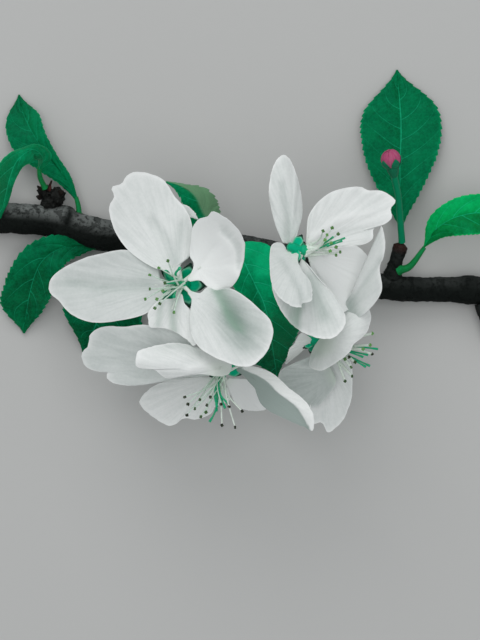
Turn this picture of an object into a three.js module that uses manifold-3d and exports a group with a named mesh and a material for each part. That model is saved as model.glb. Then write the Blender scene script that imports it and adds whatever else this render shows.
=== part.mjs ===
// A flowering branch cut from a white-blossomed fruit tree, laid down on a floor.
// Millimetres, z up from the floor. Every piece is drawn in the picture plane (x right, y up), which
// lies FOCUS_HEIGHT above the floor, and place() then moves it along the line of sight to its own height.
import * as THREE from "three";
import { mergeVertices } from "three/addons/utils/BufferGeometryUtils.js";
import Module from "manifold-3d";

const wasm = await Module();
wasm.setup();
const { Manifold, Mesh } = wasm;

// Line of sight
const EYE_HEIGHT = 490;
const FOCUS_HEIGHT = 40;

// Sizes shared by many pieces
const PETAL_THICKNESS = 0.4;
const LEAF_THICKNESS = 0.5;
const SEPAL_THICKNESS = 0.4;
const SEAT_GAP = 0.3; // free space left between neighbouring nodes
const HEART_RADIUS = 1.2; // the boss a bloom's claws meet in
const DISC_DEPTH = 0.75; // how far the disc that carries the stamens stands out from the heart
const CLAW_RADIUS = 0.5;
const FILAMENT_RADIUS = 0.25;
const STYLE_RADIUS = 0.3;
const ANTHER_RADIUS = 0.55;
const ANTHER_FLATNESS = 0.8;
const THREAD_BEND = 0.8; // how high the middle of a thread rises from its straight line
const STALK_RADIUS = 0.75;
const URN_RADIUS = 1.45; // the swollen top of a flower stalk
const URN_HEIGHT = 1.8;
const SEPAL_WIDTH = 2;
const SEPAL_OUTLINE = [0.55, 1, 0.85, 0.08]; // widths from foot to tip, in shares of the full width
const PETIOLE_RADIUS = 0.65;

// How finely surfaces are divided
const PETAL_ROWS = 5;
const PETAL_COLUMNS = 15;
const LEAF_ROWS = 11;
const LEAF_COLUMNS = 7;
const STALK_SIDES = 7;
const STALK_STATIONS = 12;
const PETIOLE_STATIONS = 6;
const CLAW_SIDES = 6;
const CLAW_STATIONS = 4;
const THREAD_SIDES = 3;
const THREAD_STATIONS = 2;
const SPUR_SIDES = 10;
const SPUR_STATIONS = 8;
const ROUND_DETAIL = 2; // how often the faces of an octahedron are divided into a round
const BUD_DETAIL = 3;
const FACET_TOLERANCE = 0.05;
const CORNER_STEP = 0.001;

const FINISHES = {
  bark: { color: 0x2b3134, roughness: 0.8, metalness: 0 },
  petal: { color: 0xd4dad6, roughness: 0.55, metalness: 0 },
  leaf: { color: 0x0a7a4c, roughness: 0.5, metalness: 0 },
  stalk: { color: 0x1d8a5c, roughness: 0.55, metalness: 0 },
  stamen: { color: 0x5f8f6a, roughness: 0.6, metalness: 0 },
  bud: { color: 0xa04a6c, roughness: 0.5, metalness: 0 },
};

// Wood: axis points [x, y, z] in the picture plane and a real radius at each
const BRANCH_AXIS = [
  [-53.6, 21.2, 3.8], [-46, 20.4, 3.7], [-40, 20, 3.6], [-36, 19.4, 3.7], [-32.4, 18.2, 3.8],
  [-28, 17.1, 3.9], [-22.8, 16.5, 4.1], [-8, 15.4, 4.6], [1, 14, 4.9], [10, 12, 4.7], [18, 9.6, 4.2],
  [26, 7.2, 3.7], [32, 6.3, 3.4], [40, 6.1, 3.1], [48, 6, 3], [53.6, 5.8, 3],
];
const BRANCH_RADII = [3.4, 3.3, 3.3, 3.5, 3.4, 3.2, 3.2, 3.2, 3.2, 3.1, 3, 2.85, 2.7, 2.6, 2.7, 2.8];
const BRANCH_SIDES = 14;
const BRANCH_STATIONS = 44;
// Raised growth rings: place along the branch (0..1), height, half length
const BRANCH_RINGS = [[0.168, 0.55, 0.012], [0.62, 0.25, 0.015], [0.93, 0.45, 0.02]];

const LEFT_SPUR_LUMPS = [
  // centre, radius
  [[-38, 23.6, 4.6], 1.9],
  [[-36.6, 24.8, 5.2], 1.7],
  [[-39, 25.6, 5.8], 1.4],
];
const CLUSTER_SPUR = { axis: [[3.6, 13.6, 5.6], [3.7, 12.6, 8], [3.8, 12, 9.6]], radii: [2.3, 1.9, 2.1] };
const RIGHT_SPUR = {
  axis: [[30.4, 8.6, 4], [30.8, 10.4, 5], [31.6, 13, 5.8], [32.4, 15.4, 6.4]],
  radii: [2, 1.5, 1.4, 1.55],
};
const END_TWIG = {
  axis: [[48.6, 3.4, 3.2], [49.6, -0.6, 3], [50.6, -5, 2.6]],
  radii: [1.9, 1.5, 1.4],
};

// Leaves: a spine of [x, y, z] points, half widths along it on the left and right of the way it runs,
// how steeply each half lifts from the spine, and the path of the stalk
const LEAVES = {
  leaf_curled: {
    spine: [[-40.2, 30, 9], [-39.4, 32.6, 12.5], [-41.4, 34.2, 15], [-44.2, 32.4, 16], [-45.8, 29, 14.5],
      [-46.8, 25, 11], [-48, 20.4, 7]],
    left: [0.2, 1.4, 2.5, 1.5, 1, 0.8, 0.15],
    right: [0.2, 1.7, 0.9, 2.8, 3.8, 2.8, 0.15],
    lift: [-1.2, -0.6],
    stalk: [[-39, 26.4, 6.8], [-40, 28.6, 8.2], [-40.2, 30.6, 9.2]],
  },
  leaf_back_left: {
    spine: [[-32.4, 23.6, 3.4], [-34.8, 28, 4], [-38, 32.4, 4.4], [-41, 36.6, 3.8], [-43.2, 41, 2.2],
      [-44.2, 45, 0.6]],
    left: [0.2, 1.6, 3.4, 5, 4.2, 0.15],
    right: [0.2, 1.2, 1.5, 2.2, 2.8, 0.15],
    lift: [0.1, 0.1],
    stalk: [[-32.2, 21, 4], [-32.3, 22.6, 3.6], [-32.8, 24.6, 3.6]],
  },
  leaf_low_left: {
    spine: [[-27.6, 14.6, 4.2], [-32, 14.8, 5.4], [-36.6, 14, 6.6], [-39.8, 11.4, 7], [-41.6, 7, 5.4],
      [-42.6, 2, 2.4], [-43.2, -2.6, 0.6]],
    left: [0.2, 2, 3.6, 4.4, 4.4, 3, 0.2],
    right: [0.2, 1.6, 3.4, 4.8, 5.4, 5.2, 0.2],
    lift: [0.25, 0.15],
    stalk: [[-23, 14.4, 4.4], [-25.4, 14.2, 3.2], [-28.6, 14.6, 4.3]],
  },
  leaf_low_middle: {
    spine: [[-24.4, 12.4, 3], [-26, 7, 4], [-28.4, 0, 3.4], [-31.4, -6.4, 0.6]],
    left: [0.2, 6.4, 8.4, 0.2],
    right: [0.2, 6, 7.4, 0.2],
    lift: [0.05, 0.05],
    stalk: [[-22.8, 15, 4], [-23.6, 13.6, 3], [-24.6, 12, 3]],
  },
  leaf_upper: {
    spine: [[-1.8, 15.4, 11], [-5.2, 18.6, 13], [-7.4, 21.2, 15], [-9.2, 24.8, 16.6], [-12, 26.8, 17],
      [-14.8, 27.6, 16.6]],
    left: [0.2, 2.4, 3.6, 3.6, 2, 0.15],
    right: [0.2, 1.6, 3.4, 3.5, 0.9, 0.15],
    lift: [0.3, -0.9],
    stalk: [[2.6, 12.8, 9], [0.6, 13.8, 10], [-2.2, 15.6, 11.2]],
  },
  leaf_centre: {
    spine: [[2.2, 15.2, 12.6], [2.2, 9, 15], [4, 4, 14], [5.6, -2, 9.4], [6.8, -7.4, 4], [7.4, -11.6, 0.7]],
    left: [3.8, 7.4, 7.8, 7, 2.8, 0.15],
    right: [1.2, 3.8, 4.2, 3.8, 2.6, 0.15],
    lift: [0.12, 0.1],
    stalk: [[3.4, 12.6, 9.8], [3.2, 14, 11.2], [2.3, 14.4, 12.6]],
  },
  leaf_right: {
    spine: [[36.8, 14.6, 8], [40, 18.8, 11], [44, 20.8, 12.6], [48, 21.4, 12], [52, 20.8, 9],
      [57, 18.4, 4.6]],
    left: [0.2, 2.6, 3.7, 3.8, 3.2, 0.15],
    right: [0.2, 2.5, 4, 4.2, 3.4, 0.15],
    lift: [0.2, 0.5],
    stalk: [[31.8, 10, 5.6], [33.8, 10.6, 7], [36.9, 14.5, 8]],
  },
  leaf_back_right: {
    spine: [[32.2, 18, 4.6], [32, 23, 4], [32, 31, 3.2], [32.2, 39, 2], [31.4, 50, 0.6]],
    left: [0.2, 4.4, 7.6, 7.4, 0.15],
    right: [0.2, 4.4, 7.6, 7.4, 0.15],
    lift: [0.06, 0.06],
    stalk: [[32, 13.6, 4.2], [32.2, 16, 4.6], [32.2, 18.6, 4.6]],
  },
};

// Blooms. heart: where the claws meet. urn: the swollen stalk top behind it. sepals: their tips.
// Each petal: the point [x, y, z] its claw leaves from, the heading of its midline in degrees, the
// rise of the midline to the tip, bow of the midline, cup and tilt across it, and its rim in its own
// frame [along, across] from the right side round the tip to the left side.
// folds: [side, where the crease lies across the petal, slope beyond it].
const BLOOMS = {
  left: {
    heart: [-11.8, 7.2, 33.6],
    urn: [-11, 7.2, 30.2],
    sepals: [[-9.8, 11.2, 31], [-6.8, 6.8, 32], [-9.9, 2.4, 31], [-16, 3.6, 28.6], [-16, 10.4, 28.6]],
    stalk: [[2.2, 11.6, 7.6], [-2, 11, 9.4], [-6, 9.4, 15], [-9.4, 7.8, 23], [-10.8, 7.2, 29]],
    anthers: [[-14.4, 11.8], [-16.2, 10.4], [-18, 9], [-18, 6.2], [-18.9, 4.2], [-16.6, 4.2], [-16, 3.3],
      [-17, 2.4], [-13.2, 1.6], [-15, 7.4], [-15.4, 5.8]],
    styles: [[-13.8, 6.8], [-14, 7.8], [-14.2, 6], [-13, 5.4], [-12.8, 8.4]],
    filamentLength: 8.8,
    styleLength: 5.2,
    petals: [
      { name: "top", at: [-13.2, 10.4, 34], aim: 111, rise: 1, bow: -1.5, cup: 1, ruffle: 0.5,
        rim: [[-2, -0.1], [-0.5, -1.2], [0.3, -1.6], [1.1, -3.8], [2.4, -5], [7.5, -6.2], [8.2, -7.9],
          [10.2, -7.1], [11.2, -6], [12.8, -5.4], [16.5, -4.6], [18, -3.8], [20.7, 0.2], [20.6, 2.2],
          [19.5, 3.8], [19.6, 5.8], [17.6, 6.1], [16.1, 7.7], [11.4, 8.4], [6.7, 7.3], [2, 4.2],
          [0.7, 2.7], [0, 1.3], [-1.6, 0.9]] },
      { name: "left", at: [-16.4, 7, 33.2], aim: -178, rise: -9, bow: 1.5, cup: 1, ruffle: 0.5,
        rim: [[-2.4, 0.1], [-1.5, -0.5], [-0.5, -1], [-0.2, -2.9], [1.4, -4.7], [5.8, -7.2],
          [11.4, -6.6], [15.8, -5.5], [20.9, -2.5], [21.9, -0.5], [21.6, 0.9], [19.9, 2.4], [18.6, 4.2],
          [16.6, 5.9], [13.8, 6.9], [10.8, 7.1], [4.8, 6.3], [2.4, 5.5], [1, 4.4], [-0.3, 2.9],
          [-2.6, 1.4]] },
      { name: "upper_right", at: [-8.4, 10.2, 36.2], aim: 50, rise: 7, bow: -1.5, cup: 1.2,
        rim: [[-3.1, -0.2], [-1.5, -1.8], [-1.5, -3.7], [-1.2, -5.4], [1.2, -7.3], [3.3, -7.4],
          [7.4, -5.8], [8.9, -4.7], [10.2, -3.5], [11.3, -0.5], [11.1, 4.2], [10.5, 5.3], [9.3, 5.3],
          [7.6, 6.3], [5.8, 6.2], [3.2, 4.6], [0.9, 2.9], [0.2, 1.3], [-1.6, 0.5], [-3, 0.3]] },
      { name: "lower_right", at: [-8.4, 4.2, 36], aim: -39, rise: 9, bow: -0.5, cup: 0.8, tilt: 1.2,
        rim: [[-2.6, -0.3], [-1, -0.8], [-0.3, -1.8], [0.4, -3], [1.9, -4.9], [4.1, -6.7], [7, -7.4],
          [9.8, -7], [12.7, -6.1], [14.9, -5.3], [16.6, -3.9], [17.3, -0.9], [17.1, 1.8], [15.9, 4.2],
          [14, 5.7], [11.2, 6.2], [3.6, 5.7], [1.7, 3.6], [0, 3.1], [-0.4, 1.2], [-1.5, 0.6],
          [-2.7, 0.1]] },
      { name: "bottom", at: [-13.4, 2.8, 34.4], aim: -100, rise: -0.4, cup: 0.3, tilt: 0.6,
        rim: [[-2.3, 0.2], [-1.5, -0.2], [-1.2, -1.4], [-0.6, -2.8], [0.3, -3.8], [2.4, -4.7],
          [3.6, -4.4], [4.9, -3.9], [4.7, -1.6], [5, 1.3], [6.2, 3.9], [7.1, 5.5], [5.4, 6], [2.7, 5.4],
          [0.2, 3.5], [-0.9, 2.2], [-2.7, 1.3]] },
    ],
  },
  low: {
    heart: [-3.9, -10.9, 28.4],
    urn: [-3.4, -9.2, 25.6],
    sepals: [[-6.6, -8.4, 23.4], [-1, -8, 24], [-3, -6, 22], [-1.6, -11, 22], [-6, -11.4, 22]],
    stalk: [[3, 10.4, 8], [0.6, 6.6, 7.6], [-2, 0, 10], [-3.4, -5.6, 17], [-3.5, -8.8, 24.4]],
    anthers: [[-11, -15.4], [-10.4, -16.8], [-9, -17.7], [-8, -15.9], [-10.6, -19], [-6.6, -17],
      [-5.9, -15.4], [-6.8, -18.4], [-7.8, -19.3], [-3.8, -16.8], [-3.6, -21], [-1, -21.4], [0.4, -18.2],
      [-2.2, -17.3]],
    styles: [[-5.8, -20], [-2, -16.8], [-4.8, -17.6], [-3.2, -17], [-4.2, -19]],
    filamentLength: 11.2,
    styleLength: 9.4,
    petals: [
      { name: "left", at: [-5.2, -10.2, 27.5], aim: 171, rise: -2, bow: 2.5, cup: 0.5, tilt: -3,
        rim: [[1.9, -0.7], [4.7, -4.3], [7, -6], [10.2, -6.9], [14.5, -7], [24.4, -4.7], [25.6, -3],
          [25.7, -1.1], [26.6, 1.1], [25.4, 3.1], [23.3, 3.8], [20.7, 3.5], [21, 4.2], [20.4, 5.1],
          [17.8, 5.6], [14.4, 5.2], [8.8, 3], [1.2, 1.2]] },
      { name: "front", at: [-3.8, -9.6, 33.5], aim: 171, rise: 5, bow: 2, cup: -2.6, tilt: 1.2,
        rim: [[-2.1, 0], [-1.7, -1.7], [-0.2, -2.9], [3.5, -3.1], [8.5, -3.6], [10.8, -3.3],
          [15.3, -1.6], [16.9, -0.6], [17.1, 1.4], [16.4, 2.5], [14.7, 2.7], [12.8, 2.3], [11.3, 3.7],
          [9.7, 3.7], [6, 1.8], [3.1, 1.8], [-0.1, 1.7], [-1.8, 0.9]] },
      { name: "lower_left", at: [-4.8, -12.2, 27], aim: -159, rise: -10, bow: -1, cup: 1,
        rim: [[1.3, -1.3], [4.2, -2.4], [10.1, -3.6], [12.8, -3.3], [15.8, -1.6], [14.8, 1.4],
          [11.7, 5.1], [8.6, 4.7], [6.6, 5.7], [3.2, 5.7], [2, 4.7], [0.6, 4.8], [-1.2, 4.5],
          [-1.7, 2.2]] },
      { name: "lower_right", at: [-2.6, -12, 26], aim: -37, rise: -11, bow: -1, cup: 0.8,
        rim: [[2.4, -1.9], [4.6, -2.8], [6.2, -2.7], [9.6, -0.2], [9.8, 1.8], [7.7, 2.7], [3.7, 2.7],
          [0, 0.3]] },
      { name: "right", at: [-1.2, -11.6, 30.4], aim: -35, rise: 7.5, bow: 1.5, cup: 0.4, tilt: 2,
        folds: [[1, 0.45, -5]],
        rim: [[-0.8, -0.7], [1.2, -1.1], [8.7, -1.6], [18.8, -0.1], [18.9, 0.6], [18.1, 2.2],
          [16.4, 3.7], [14.6, 4.6], [8, 5], [3.6, 4.7], [1.8, 3.7], [1.1, 1.7], [-0.8, 0.1]] },
    ],
  },
  right: {
    heart: [12.6, 14, 39.4],
    urn: [10.8, 14.4, 40],
    sepals: [[8.6, 15.4, 39.6], [12.2, 17.6, 39], [11.7, 11.1, 40.6], [13.6, 16.2, 36.4], [13, 11, 36]],
    stalk: [[5.4, 12.4, 8], [8.4, 12.8, 9.4], [10.4, 13.2, 15], [11, 13.8, 25], [10.8, 14.3, 39]],
    anthers: [[16.6, 17.8], [18.4, 18.4], [19.6, 17.2], [19.2, 14.6], [20, 13.6], [19.2, 13], [17, 16],
      [18.2, 15.4], [18, 13.8], [17.4, 17]],
    styles: [[21, 16.4], [20.4, 15.8], [19, 15.4], [18.6, 16.6], [17.6, 15]],
    filamentLength: 9,
    styleLength: 9,
    petals: [
      { name: "top", at: [10, 15.4, 37], aim: 94, rise: 1, bow: 1, cup: -1.6, tilt: 1.5,
        rim: [[0.6, -1.4], [2.1, -1.7], [5.8, -2.9], [12.8, -2.4], [17, -0.9], [17.7, 0.2], [17.1, 1.2],
          [15.2, 2.4], [10.5, 3.5], [4.4, 2.8], [2.3, 2.2], [0.2, 1.4]] },
      { name: "upper_right", at: [13.4, 14.8, 38], aim: 27, rise: -8, bow: -2, cup: 1,
        rim: [[2.3, -3.4], [11.6, -4.9], [12.7, -4.1], [13.3, -2.7], [14.2, -2.4], [17, -3.1],
          [17.7, -2.6], [18.4, -0.4], [19.9, -0.4], [18.3, 3.1], [14.8, 5.8], [8.3, 7.2], [5.9, 6.9],
          [3.3, 5.7], [2.1, 4.5], [1.9, 2.4], [0.8, 1.2]] },
      { name: "front", at: [10, 12.4, 41.4], aim: -83, rise: 7, bow: 1, cup: -1,
        rim: [[-2, -0.5], [-3, -1.1], [-3.4, -2.1], [-3, -3.3], [-1.3, -3.9], [2.3, -4.3], [4.1, -4.3],
          [6.2, -3.8], [7.9, -2.8], [9.7, -0.6], [10, 1], [9.3, 1.3], [9.1, 3.1], [7.3, 3.6],
          [5.1, 3.4], [3.2, 2.4], [1.8, 1.7], [0.5, 1.5], [-0.5, 1.8], [-0.9, 1.3], [-0.7, 0.7]] },
      { name: "right", at: [13.8, 13.2, 38], aim: -31, rise: -11, bow: -1, cup: 1, folds: [[-1, 0.55, 2.2]],
        rim: [[2.4, -1.6], [7.1, -2.9], [11.2, -4.9], [12.6, -3.8], [13.9, -1.7], [14.1, 1], [13, 3.6],
          [11.1, 5.3], [7.4, 6.3], [6.1, 5.7], [3.2, 1.2], [0.5, -0.1]] },
      { name: "bottom", at: [12, 12, 40], aim: -74, rise: 4, bow: -1, cup: 0.8, ruffle: 0.4,
        rim: [[0.2, -2.1], [1.1, -4.7], [3, -6.7], [7.4, -6.7], [11.4, -5.4], [13.7, -3.8],
          [15.4, -1.8], [16.6, 0.6], [16.7, 2.6], [15.8, 4.2], [13.9, 5.5], [7.8, 5.2], [0.9, 1.8]] },
    ],
  },
  corner: {
    heart: [16.4, -4.6, 24.2],
    urn: [14.9, -4.2, 22.4],
    sepals: [[13, -3.4, 20.6], [16, -3, 20], [14, -6.6, 20], [17.2, -6, 19.6], [12.6, -5.6, 22]],
    stalk: [[5.2, 10.8, 8], [8.6, 8.6, 8.4], [13.6, 4.2, 11.4], [15.6, -0.4, 16], [14.8, -3.9, 21.4]],
    anthers: [[21, -7.8], [21.8, -7.4], [23, -8.4], [22.2, -9.4], [22.4, -11.2], [21, -12.2],
      [26.4, -2.7], [26, -5], [26.4, -6.8], [24.6, -5.8]],
    styles: [[27.6, -5.8], [25.2, -9.4], [26, -9.2], [25.6, -7], [24.6, -7.4]],
    filamentLength: 10.6,
    styleLength: 10.4,
    petals: [
      { name: "upper", at: [19.4, -1.2, 30], aim: 59, rise: 12, cup: -0.6, tilt: -1.6,
        rim: [[-0.7, -1.1], [6.1, -3.8], [9.6, -4.2], [11.2, -3.8], [14.6, -1.2], [16.5, -0.9],
          [19.1, 0.2], [21.8, 2.7], [20.1, 1.7], [14.8, 1.1], [4, 1.1], [0.3, 1.8]] },
      { name: "front", at: [17, -3.2, 29], aim: -18, rise: 4, bow: 3, cup: -3,
        rim: [[-0.8, -0.9], [-1.4, -2.8], [-1.5, -5.1], [-1, -6.8], [1.2, -6.9], [2.2, -6.2],
          [5.7, -1.5], [5.9, 0], [7.7, 3.3], [7.5, 6.6], [6.7, 7.8], [5.1, 8.2], [3.3, 7.4], [0.3, 3]] },
      { name: "lower_left", at: [16.4, -6.4, 25], aim: -110, rise: -6, cup: 0.8,
        rim: [[1.3, -1.2], [4, -2.6], [5.9, -6.3], [7.9, -6.4], [9.6, -5.4], [11, -3.2], [11.5, -0.5],
          [10.9, 2.3], [8.9, 3.7], [4.5, 4.6], [2.2, 2.1]] },
      { name: "lower_right", at: [18, -6.8, 24], aim: -88, rise: -7, bow: -1, cup: 0.8,
        rim: [[4.7, -2.6], [8, -3.9], [11.4, -4.5], [13.8, -3.8], [13.7, -2.1], [15.6, -0.9],
          [13.9, 1.6], [10, 3.7], [5.4, 4.3], [1.4, 3.9], [0.5, 1.6]] },
      { name: "left", at: [14.4, -4, 23], aim: -142, rise: -3, cup: -0.6, tilt: -2,
        rim: [[0.3, -1], [0.9, -2.5], [5.1, -1.4], [6.7, -0.1], [5.2, 0.3], [0.7, 0.2]] },
    ],
  },
};

// The closed flower on its own stalk
const BUD = { centre: [30.2, 32.2, 17], radii: [1.75, 1.85, 1.75] };
const BUD_STALK = [[32.4, 15.6, 6.8], [32, 20.6, 10], [31.6, 25, 13.4], [30.7, 29.4, 16.4]];
const BUD_URN_RADIUS = 1.15;
const BUD_URN_PLACE = 0.97; // how far up the stalk its swollen top is

// Moves a drawn point [x, y, z] along the line of sight to its own height
function place([x, y, z]) {
  const scale = (EYE_HEIGHT - z) / (EYE_HEIGHT - FOCUS_HEIGHT);
  return new THREE.Vector3(x * scale, y * scale, z);
}

function smooth(points) {
  return new THREE.CatmullRomCurve3(points.map((p) => new THREE.Vector3(...p)), false, "centripetal");
}

// A value read from evenly spaced stations, t from 0 to 1, eased between them
function station(values, t) {
  const at = THREE.MathUtils.clamp(t, 0, 1) * (values.length - 1);
  const i = Math.min(Math.floor(at), values.length - 2);
  const get = (k) => values[THREE.MathUtils.clamp(k, 0, values.length - 1)];
  const f = at - i;
  const [a, b, c, d] = [get(i - 1), get(i), get(i + 1), get(i + 2)];
  return b + 0.5 * f * (c - a + f * (2 * a - 5 * b + 4 * c - d + f * (3 * (b - c) + d - a)));
}

// A closed solid from corner points and triangles, turned so that its faces point out
function solid(points, triangles) {
  const flat = new Float32Array(points.length * 3);
  points.forEach((p, i) => flat.set([p.x, p.y, p.z], i * 3));
  let volume = 0;
  for (const [a, b, c] of triangles) {
    volume += points[a].dot(new THREE.Vector3().crossVectors(points[b], points[c]));
  }
  const outward = volume < 0 ? triangles.map(([a, b, c]) => [a, c, b]) : triangles;
  const triVerts = new Uint32Array(outward.flat());
  return new Manifold(new Mesh({ numProp: 3, vertProperties: flat, triVerts }));
}

// A sheet of the given thickness round a grid of points
function sheet(grid, thickness) {
  const rows = grid.length;
  const columns = grid[0].length;
  const points = [];
  for (const side of [0.5, -0.5]) {
    for (let i = 0; i < rows; i++) {
      for (let j = 0; j < columns; j++) {
        const along = grid[Math.min(i + 1, rows - 1)][j].clone().sub(grid[Math.max(i - 1, 0)][j]);
        const across = grid[i][Math.min(j + 1, columns - 1)].clone().sub(grid[i][Math.max(j - 1, 0)]);
        const normal = along.cross(across).normalize();
        points.push(grid[i][j].clone().addScaledVector(normal, side * thickness));
      }
    }
  }
  const top = (i, j) => i * columns + j;
  const under = (i, j) => rows * columns + top(i, j);
  const triangles = [];
  const quad = (a, b, c, d) => triangles.push([a, b, c], [a, c, d]);
  for (let i = 0; i < rows - 1; i++) {
    for (let j = 0; j < columns - 1; j++) {
      quad(top(i, j), top(i + 1, j), top(i + 1, j + 1), top(i, j + 1));
      quad(under(i, j), under(i, j + 1), under(i + 1, j + 1), under(i + 1, j));
    }
    quad(top(i, 0), under(i, 0), under(i + 1, 0), top(i + 1, 0));
    quad(top(i, columns - 1), top(i + 1, columns - 1), under(i + 1, columns - 1), under(i, columns - 1));
  }
  for (let j = 0; j < columns - 1; j++) {
    quad(top(0, j), top(0, j + 1), under(0, j + 1), under(0, j));
    quad(top(rows - 1, j), under(rows - 1, j), under(rows - 1, j + 1), top(rows - 1, j + 1));
  }
  return solid(points, triangles);
}

// A round bar along placed points, radius(t) at each, closed at both ends
function bar(curve, radius, sides, stations) {
  const points = [];
  let side = null;
  for (let i = 0; i <= stations; i++) {
    const t = i / stations;
    const tangent = curve.getTangentAt(t);
    if (!side) {
      side = new THREE.Vector3(0, 0, 1).cross(tangent);
      if (side.length() < 0.2) side.set(1, 0, 0);
    }
    side.addScaledVector(tangent, -side.dot(tangent)).normalize();
    const other = tangent.clone().cross(side);
    const centre = curve.getPointAt(t);
    for (let j = 0; j < sides; j++) {
      const angle = (j / sides) * 2 * Math.PI;
      const point = centre.clone().addScaledVector(side, radius(t) * Math.cos(angle));
      points.push(point.addScaledVector(other, radius(t) * Math.sin(angle)));
    }
  }
  const triangles = [];
  for (let i = 0; i < stations; i++) {
    for (let j = 0; j < sides; j++) {
      const next = (j + 1) % sides;
      const [a, b, c, d] = [i * sides + j, (i + 1) * sides + j, (i + 1) * sides + next, i * sides + next];
      triangles.push([a, b, c], [a, c, d]);
    }
  }
  const last = stations * sides;
  for (let j = 1; j < sides - 1; j++) {
    triangles.push([0, j, j + 1], [last, last + j + 1, last + j]);
  }
  return solid(points, triangles);
}

function drawnBar(points, radii, sides, stations) {
  const path = new THREE.CatmullRomCurve3(points.map(place), false, "centripetal");
  return bar(path, (t) => station(radii, t), sides, stations);
}

// An ellipsoid round a placed centre. Each step of detail divides its faces further.
function ball(centre, radii, detail = ROUND_DETAIL) {
  const round = new THREE.OctahedronGeometry(1, detail);
  round.deleteAttribute("normal");
  round.deleteAttribute("uv");
  const geometry = mergeVertices(round);
  geometry.scale(...radii);
  geometry.translate(centre.x, centre.y, centre.z);
  const vertProperties = geometry.attributes.position.array;
  const triVerts = new Uint32Array(geometry.index.array);
  return new Manifold(new Mesh({ numProp: 3, vertProperties, triVerts }));
}

function sphere(centre, radius, detail) {
  return ball(centre, [radius, radius, radius], detail);
}

function join(pieces) {
  return pieces.reduce((whole, piece) => whole.add(piece));
}

// The largest connected piece, without slivers cut loose from it or voids inside it
function largest(shape) {
  const parts = shape.decompose();
  return parts.reduce((best, part) => (part.volume() > best.volume() ? part : best));
}

// Petals

function petalGrid(petal, rows, columns) {
  const aim = THREE.MathUtils.degToRad(petal.aim);
  const [cos, sin] = [Math.cos(aim), Math.sin(aim)];
  const rim = smooth(petal.rim.map(([along, across]) => [along, across, 0])).getSpacedPoints(columns - 1);
  const length = Math.max(...rim.map((p) => p.x));
  const half = Math.max(...rim.map((p) => Math.abs(p.y)));
  const { rise = 0, bow = 0, cup = 0, tilt = 0, ruffle = 0, folds = [] } = petal;
  const grid = [];
  for (let i = 0; i < rows; i++) {
    const r = i / (rows - 1);
    grid.push(rim.map((edge, j) => {
      const q = (2 * j) / (columns - 1) - 1;
      const x = edge.x * r;
      const y = edge.y * r ** 1.25 + CLAW_RADIUS * q * (1 - r);
      const [t, w] = [x / length, y / half];
      let z = petal.at[2] + rise * t + bow * 4 * t * (1 - t) + cup * w * w * Math.min(1, Math.max(0, 3 * t));
      z += tilt * w + ruffle * r ** 3 * Math.sin(3 * Math.PI * q);
      for (const [side, start, slope] of folds) z += slope * Math.max(0, side * w - start);
      return place([petal.at[0] + cos * x - sin * y, petal.at[1] + sin * x + cos * y, z]);
    }));
  }
  return grid;
}

function petalsOf(bloom, thickness) {
  const heart = place(bloom.heart);
  const pieces = [sphere(heart, HEART_RADIUS)];
  for (const petal of bloom.petals) {
    const grid = petalGrid(petal, PETAL_ROWS, PETAL_COLUMNS);
    pieces.push(sheet(grid, thickness));
    const inner = grid[1][(PETAL_COLUMNS - 1) / 2];
    const claw = new THREE.CatmullRomCurve3([heart, place(petal.at), inner]);
    const radius = CLAW_RADIUS + (thickness - PETAL_THICKNESS) / 2;
    pieces.push(bar(claw, () => radius, CLAW_SIDES, CLAW_STATIONS));
  }
  return join(pieces);
}

// A pointed sepal from the urn to its tip
function sepal(urn, tip) {
  const [a, b] = [place(urn), place(tip)];
  const along = b.clone().sub(a);
  const side = new THREE.Vector3(-along.y, along.x, 0).normalize();
  const grid = SEPAL_OUTLINE.map((width, i) => {
    const middle = a.clone().addScaledVector(along, i / (SEPAL_OUTLINE.length - 1));
    return [-0.5, 0, 0.5].map((s) => middle.clone().addScaledVector(side, s * width * SEPAL_WIDTH));
  });
  return sheet(grid, SEPAL_THICKNESS);
}

function stalkOf(bloom) {
  const pieces = [
    drawnBar(bloom.stalk, [STALK_RADIUS, STALK_RADIUS, STALK_RADIUS * 1.1], STALK_SIDES, STALK_STATIONS),
    ball(place(bloom.urn), [URN_RADIUS, URN_RADIUS, URN_HEIGHT]),
  ];
  for (const tip of bloom.sepals) pieces.push(sepal(bloom.urn, tip));
  return join(pieces);
}

// Stamens and styles

// A thread from the heart to the height where its length ends over the drawn point
function thread(heart, tip, length, radius) {
  const b = place([...tip, threadTop(heart, tip, length)]);
  const a = place(heart);
  a.lerp(b, HEART_RADIUS / length);
  const middle = a.clone().lerp(b, 0.5);
  middle.z += THREAD_BEND;
  const path = new THREE.CatmullRomCurve3([a, middle, b]);
  return { bar: bar(path, () => radius, THREAD_SIDES, THREAD_STATIONS), end: b };
}

function threadTop(heart, tip, length) {
  const flat = Math.hypot(tip[0] - heart[0], tip[1] - heart[1]);
  return heart[2] + Math.sqrt(Math.max(0.5, length * length - flat * flat));
}

// The stamens and styles on their disc, with every radius grown by the given amount
function stamensOf(bloom, grow) {
  const heart = place(bloom.heart);
  const facing = heart.clone().sub(place(bloom.urn)).normalize();
  const disc = sphere(heart, HEART_RADIUS + DISC_DEPTH + grow);
  const level = facing.dot(heart) + DISC_DEPTH / 2 - grow;
  const pieces = [disc.trimByPlane([facing.x, facing.y, facing.z], level)];
  for (const tip of bloom.anthers) {
    const filament = thread(bloom.heart, tip, bloom.filamentLength, FILAMENT_RADIUS + grow);
    const anther = [ANTHER_RADIUS, ANTHER_RADIUS, ANTHER_RADIUS * ANTHER_FLATNESS].map((r) => r + grow);
    pieces.push(filament.bar, ball(filament.end, anther, 0));
  }
  for (const tip of bloom.styles) {
    pieces.push(thread(bloom.heart, tip, bloom.styleLength, STYLE_RADIUS + grow).bar);
  }
  return join(pieces);
}

// Leaves

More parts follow.
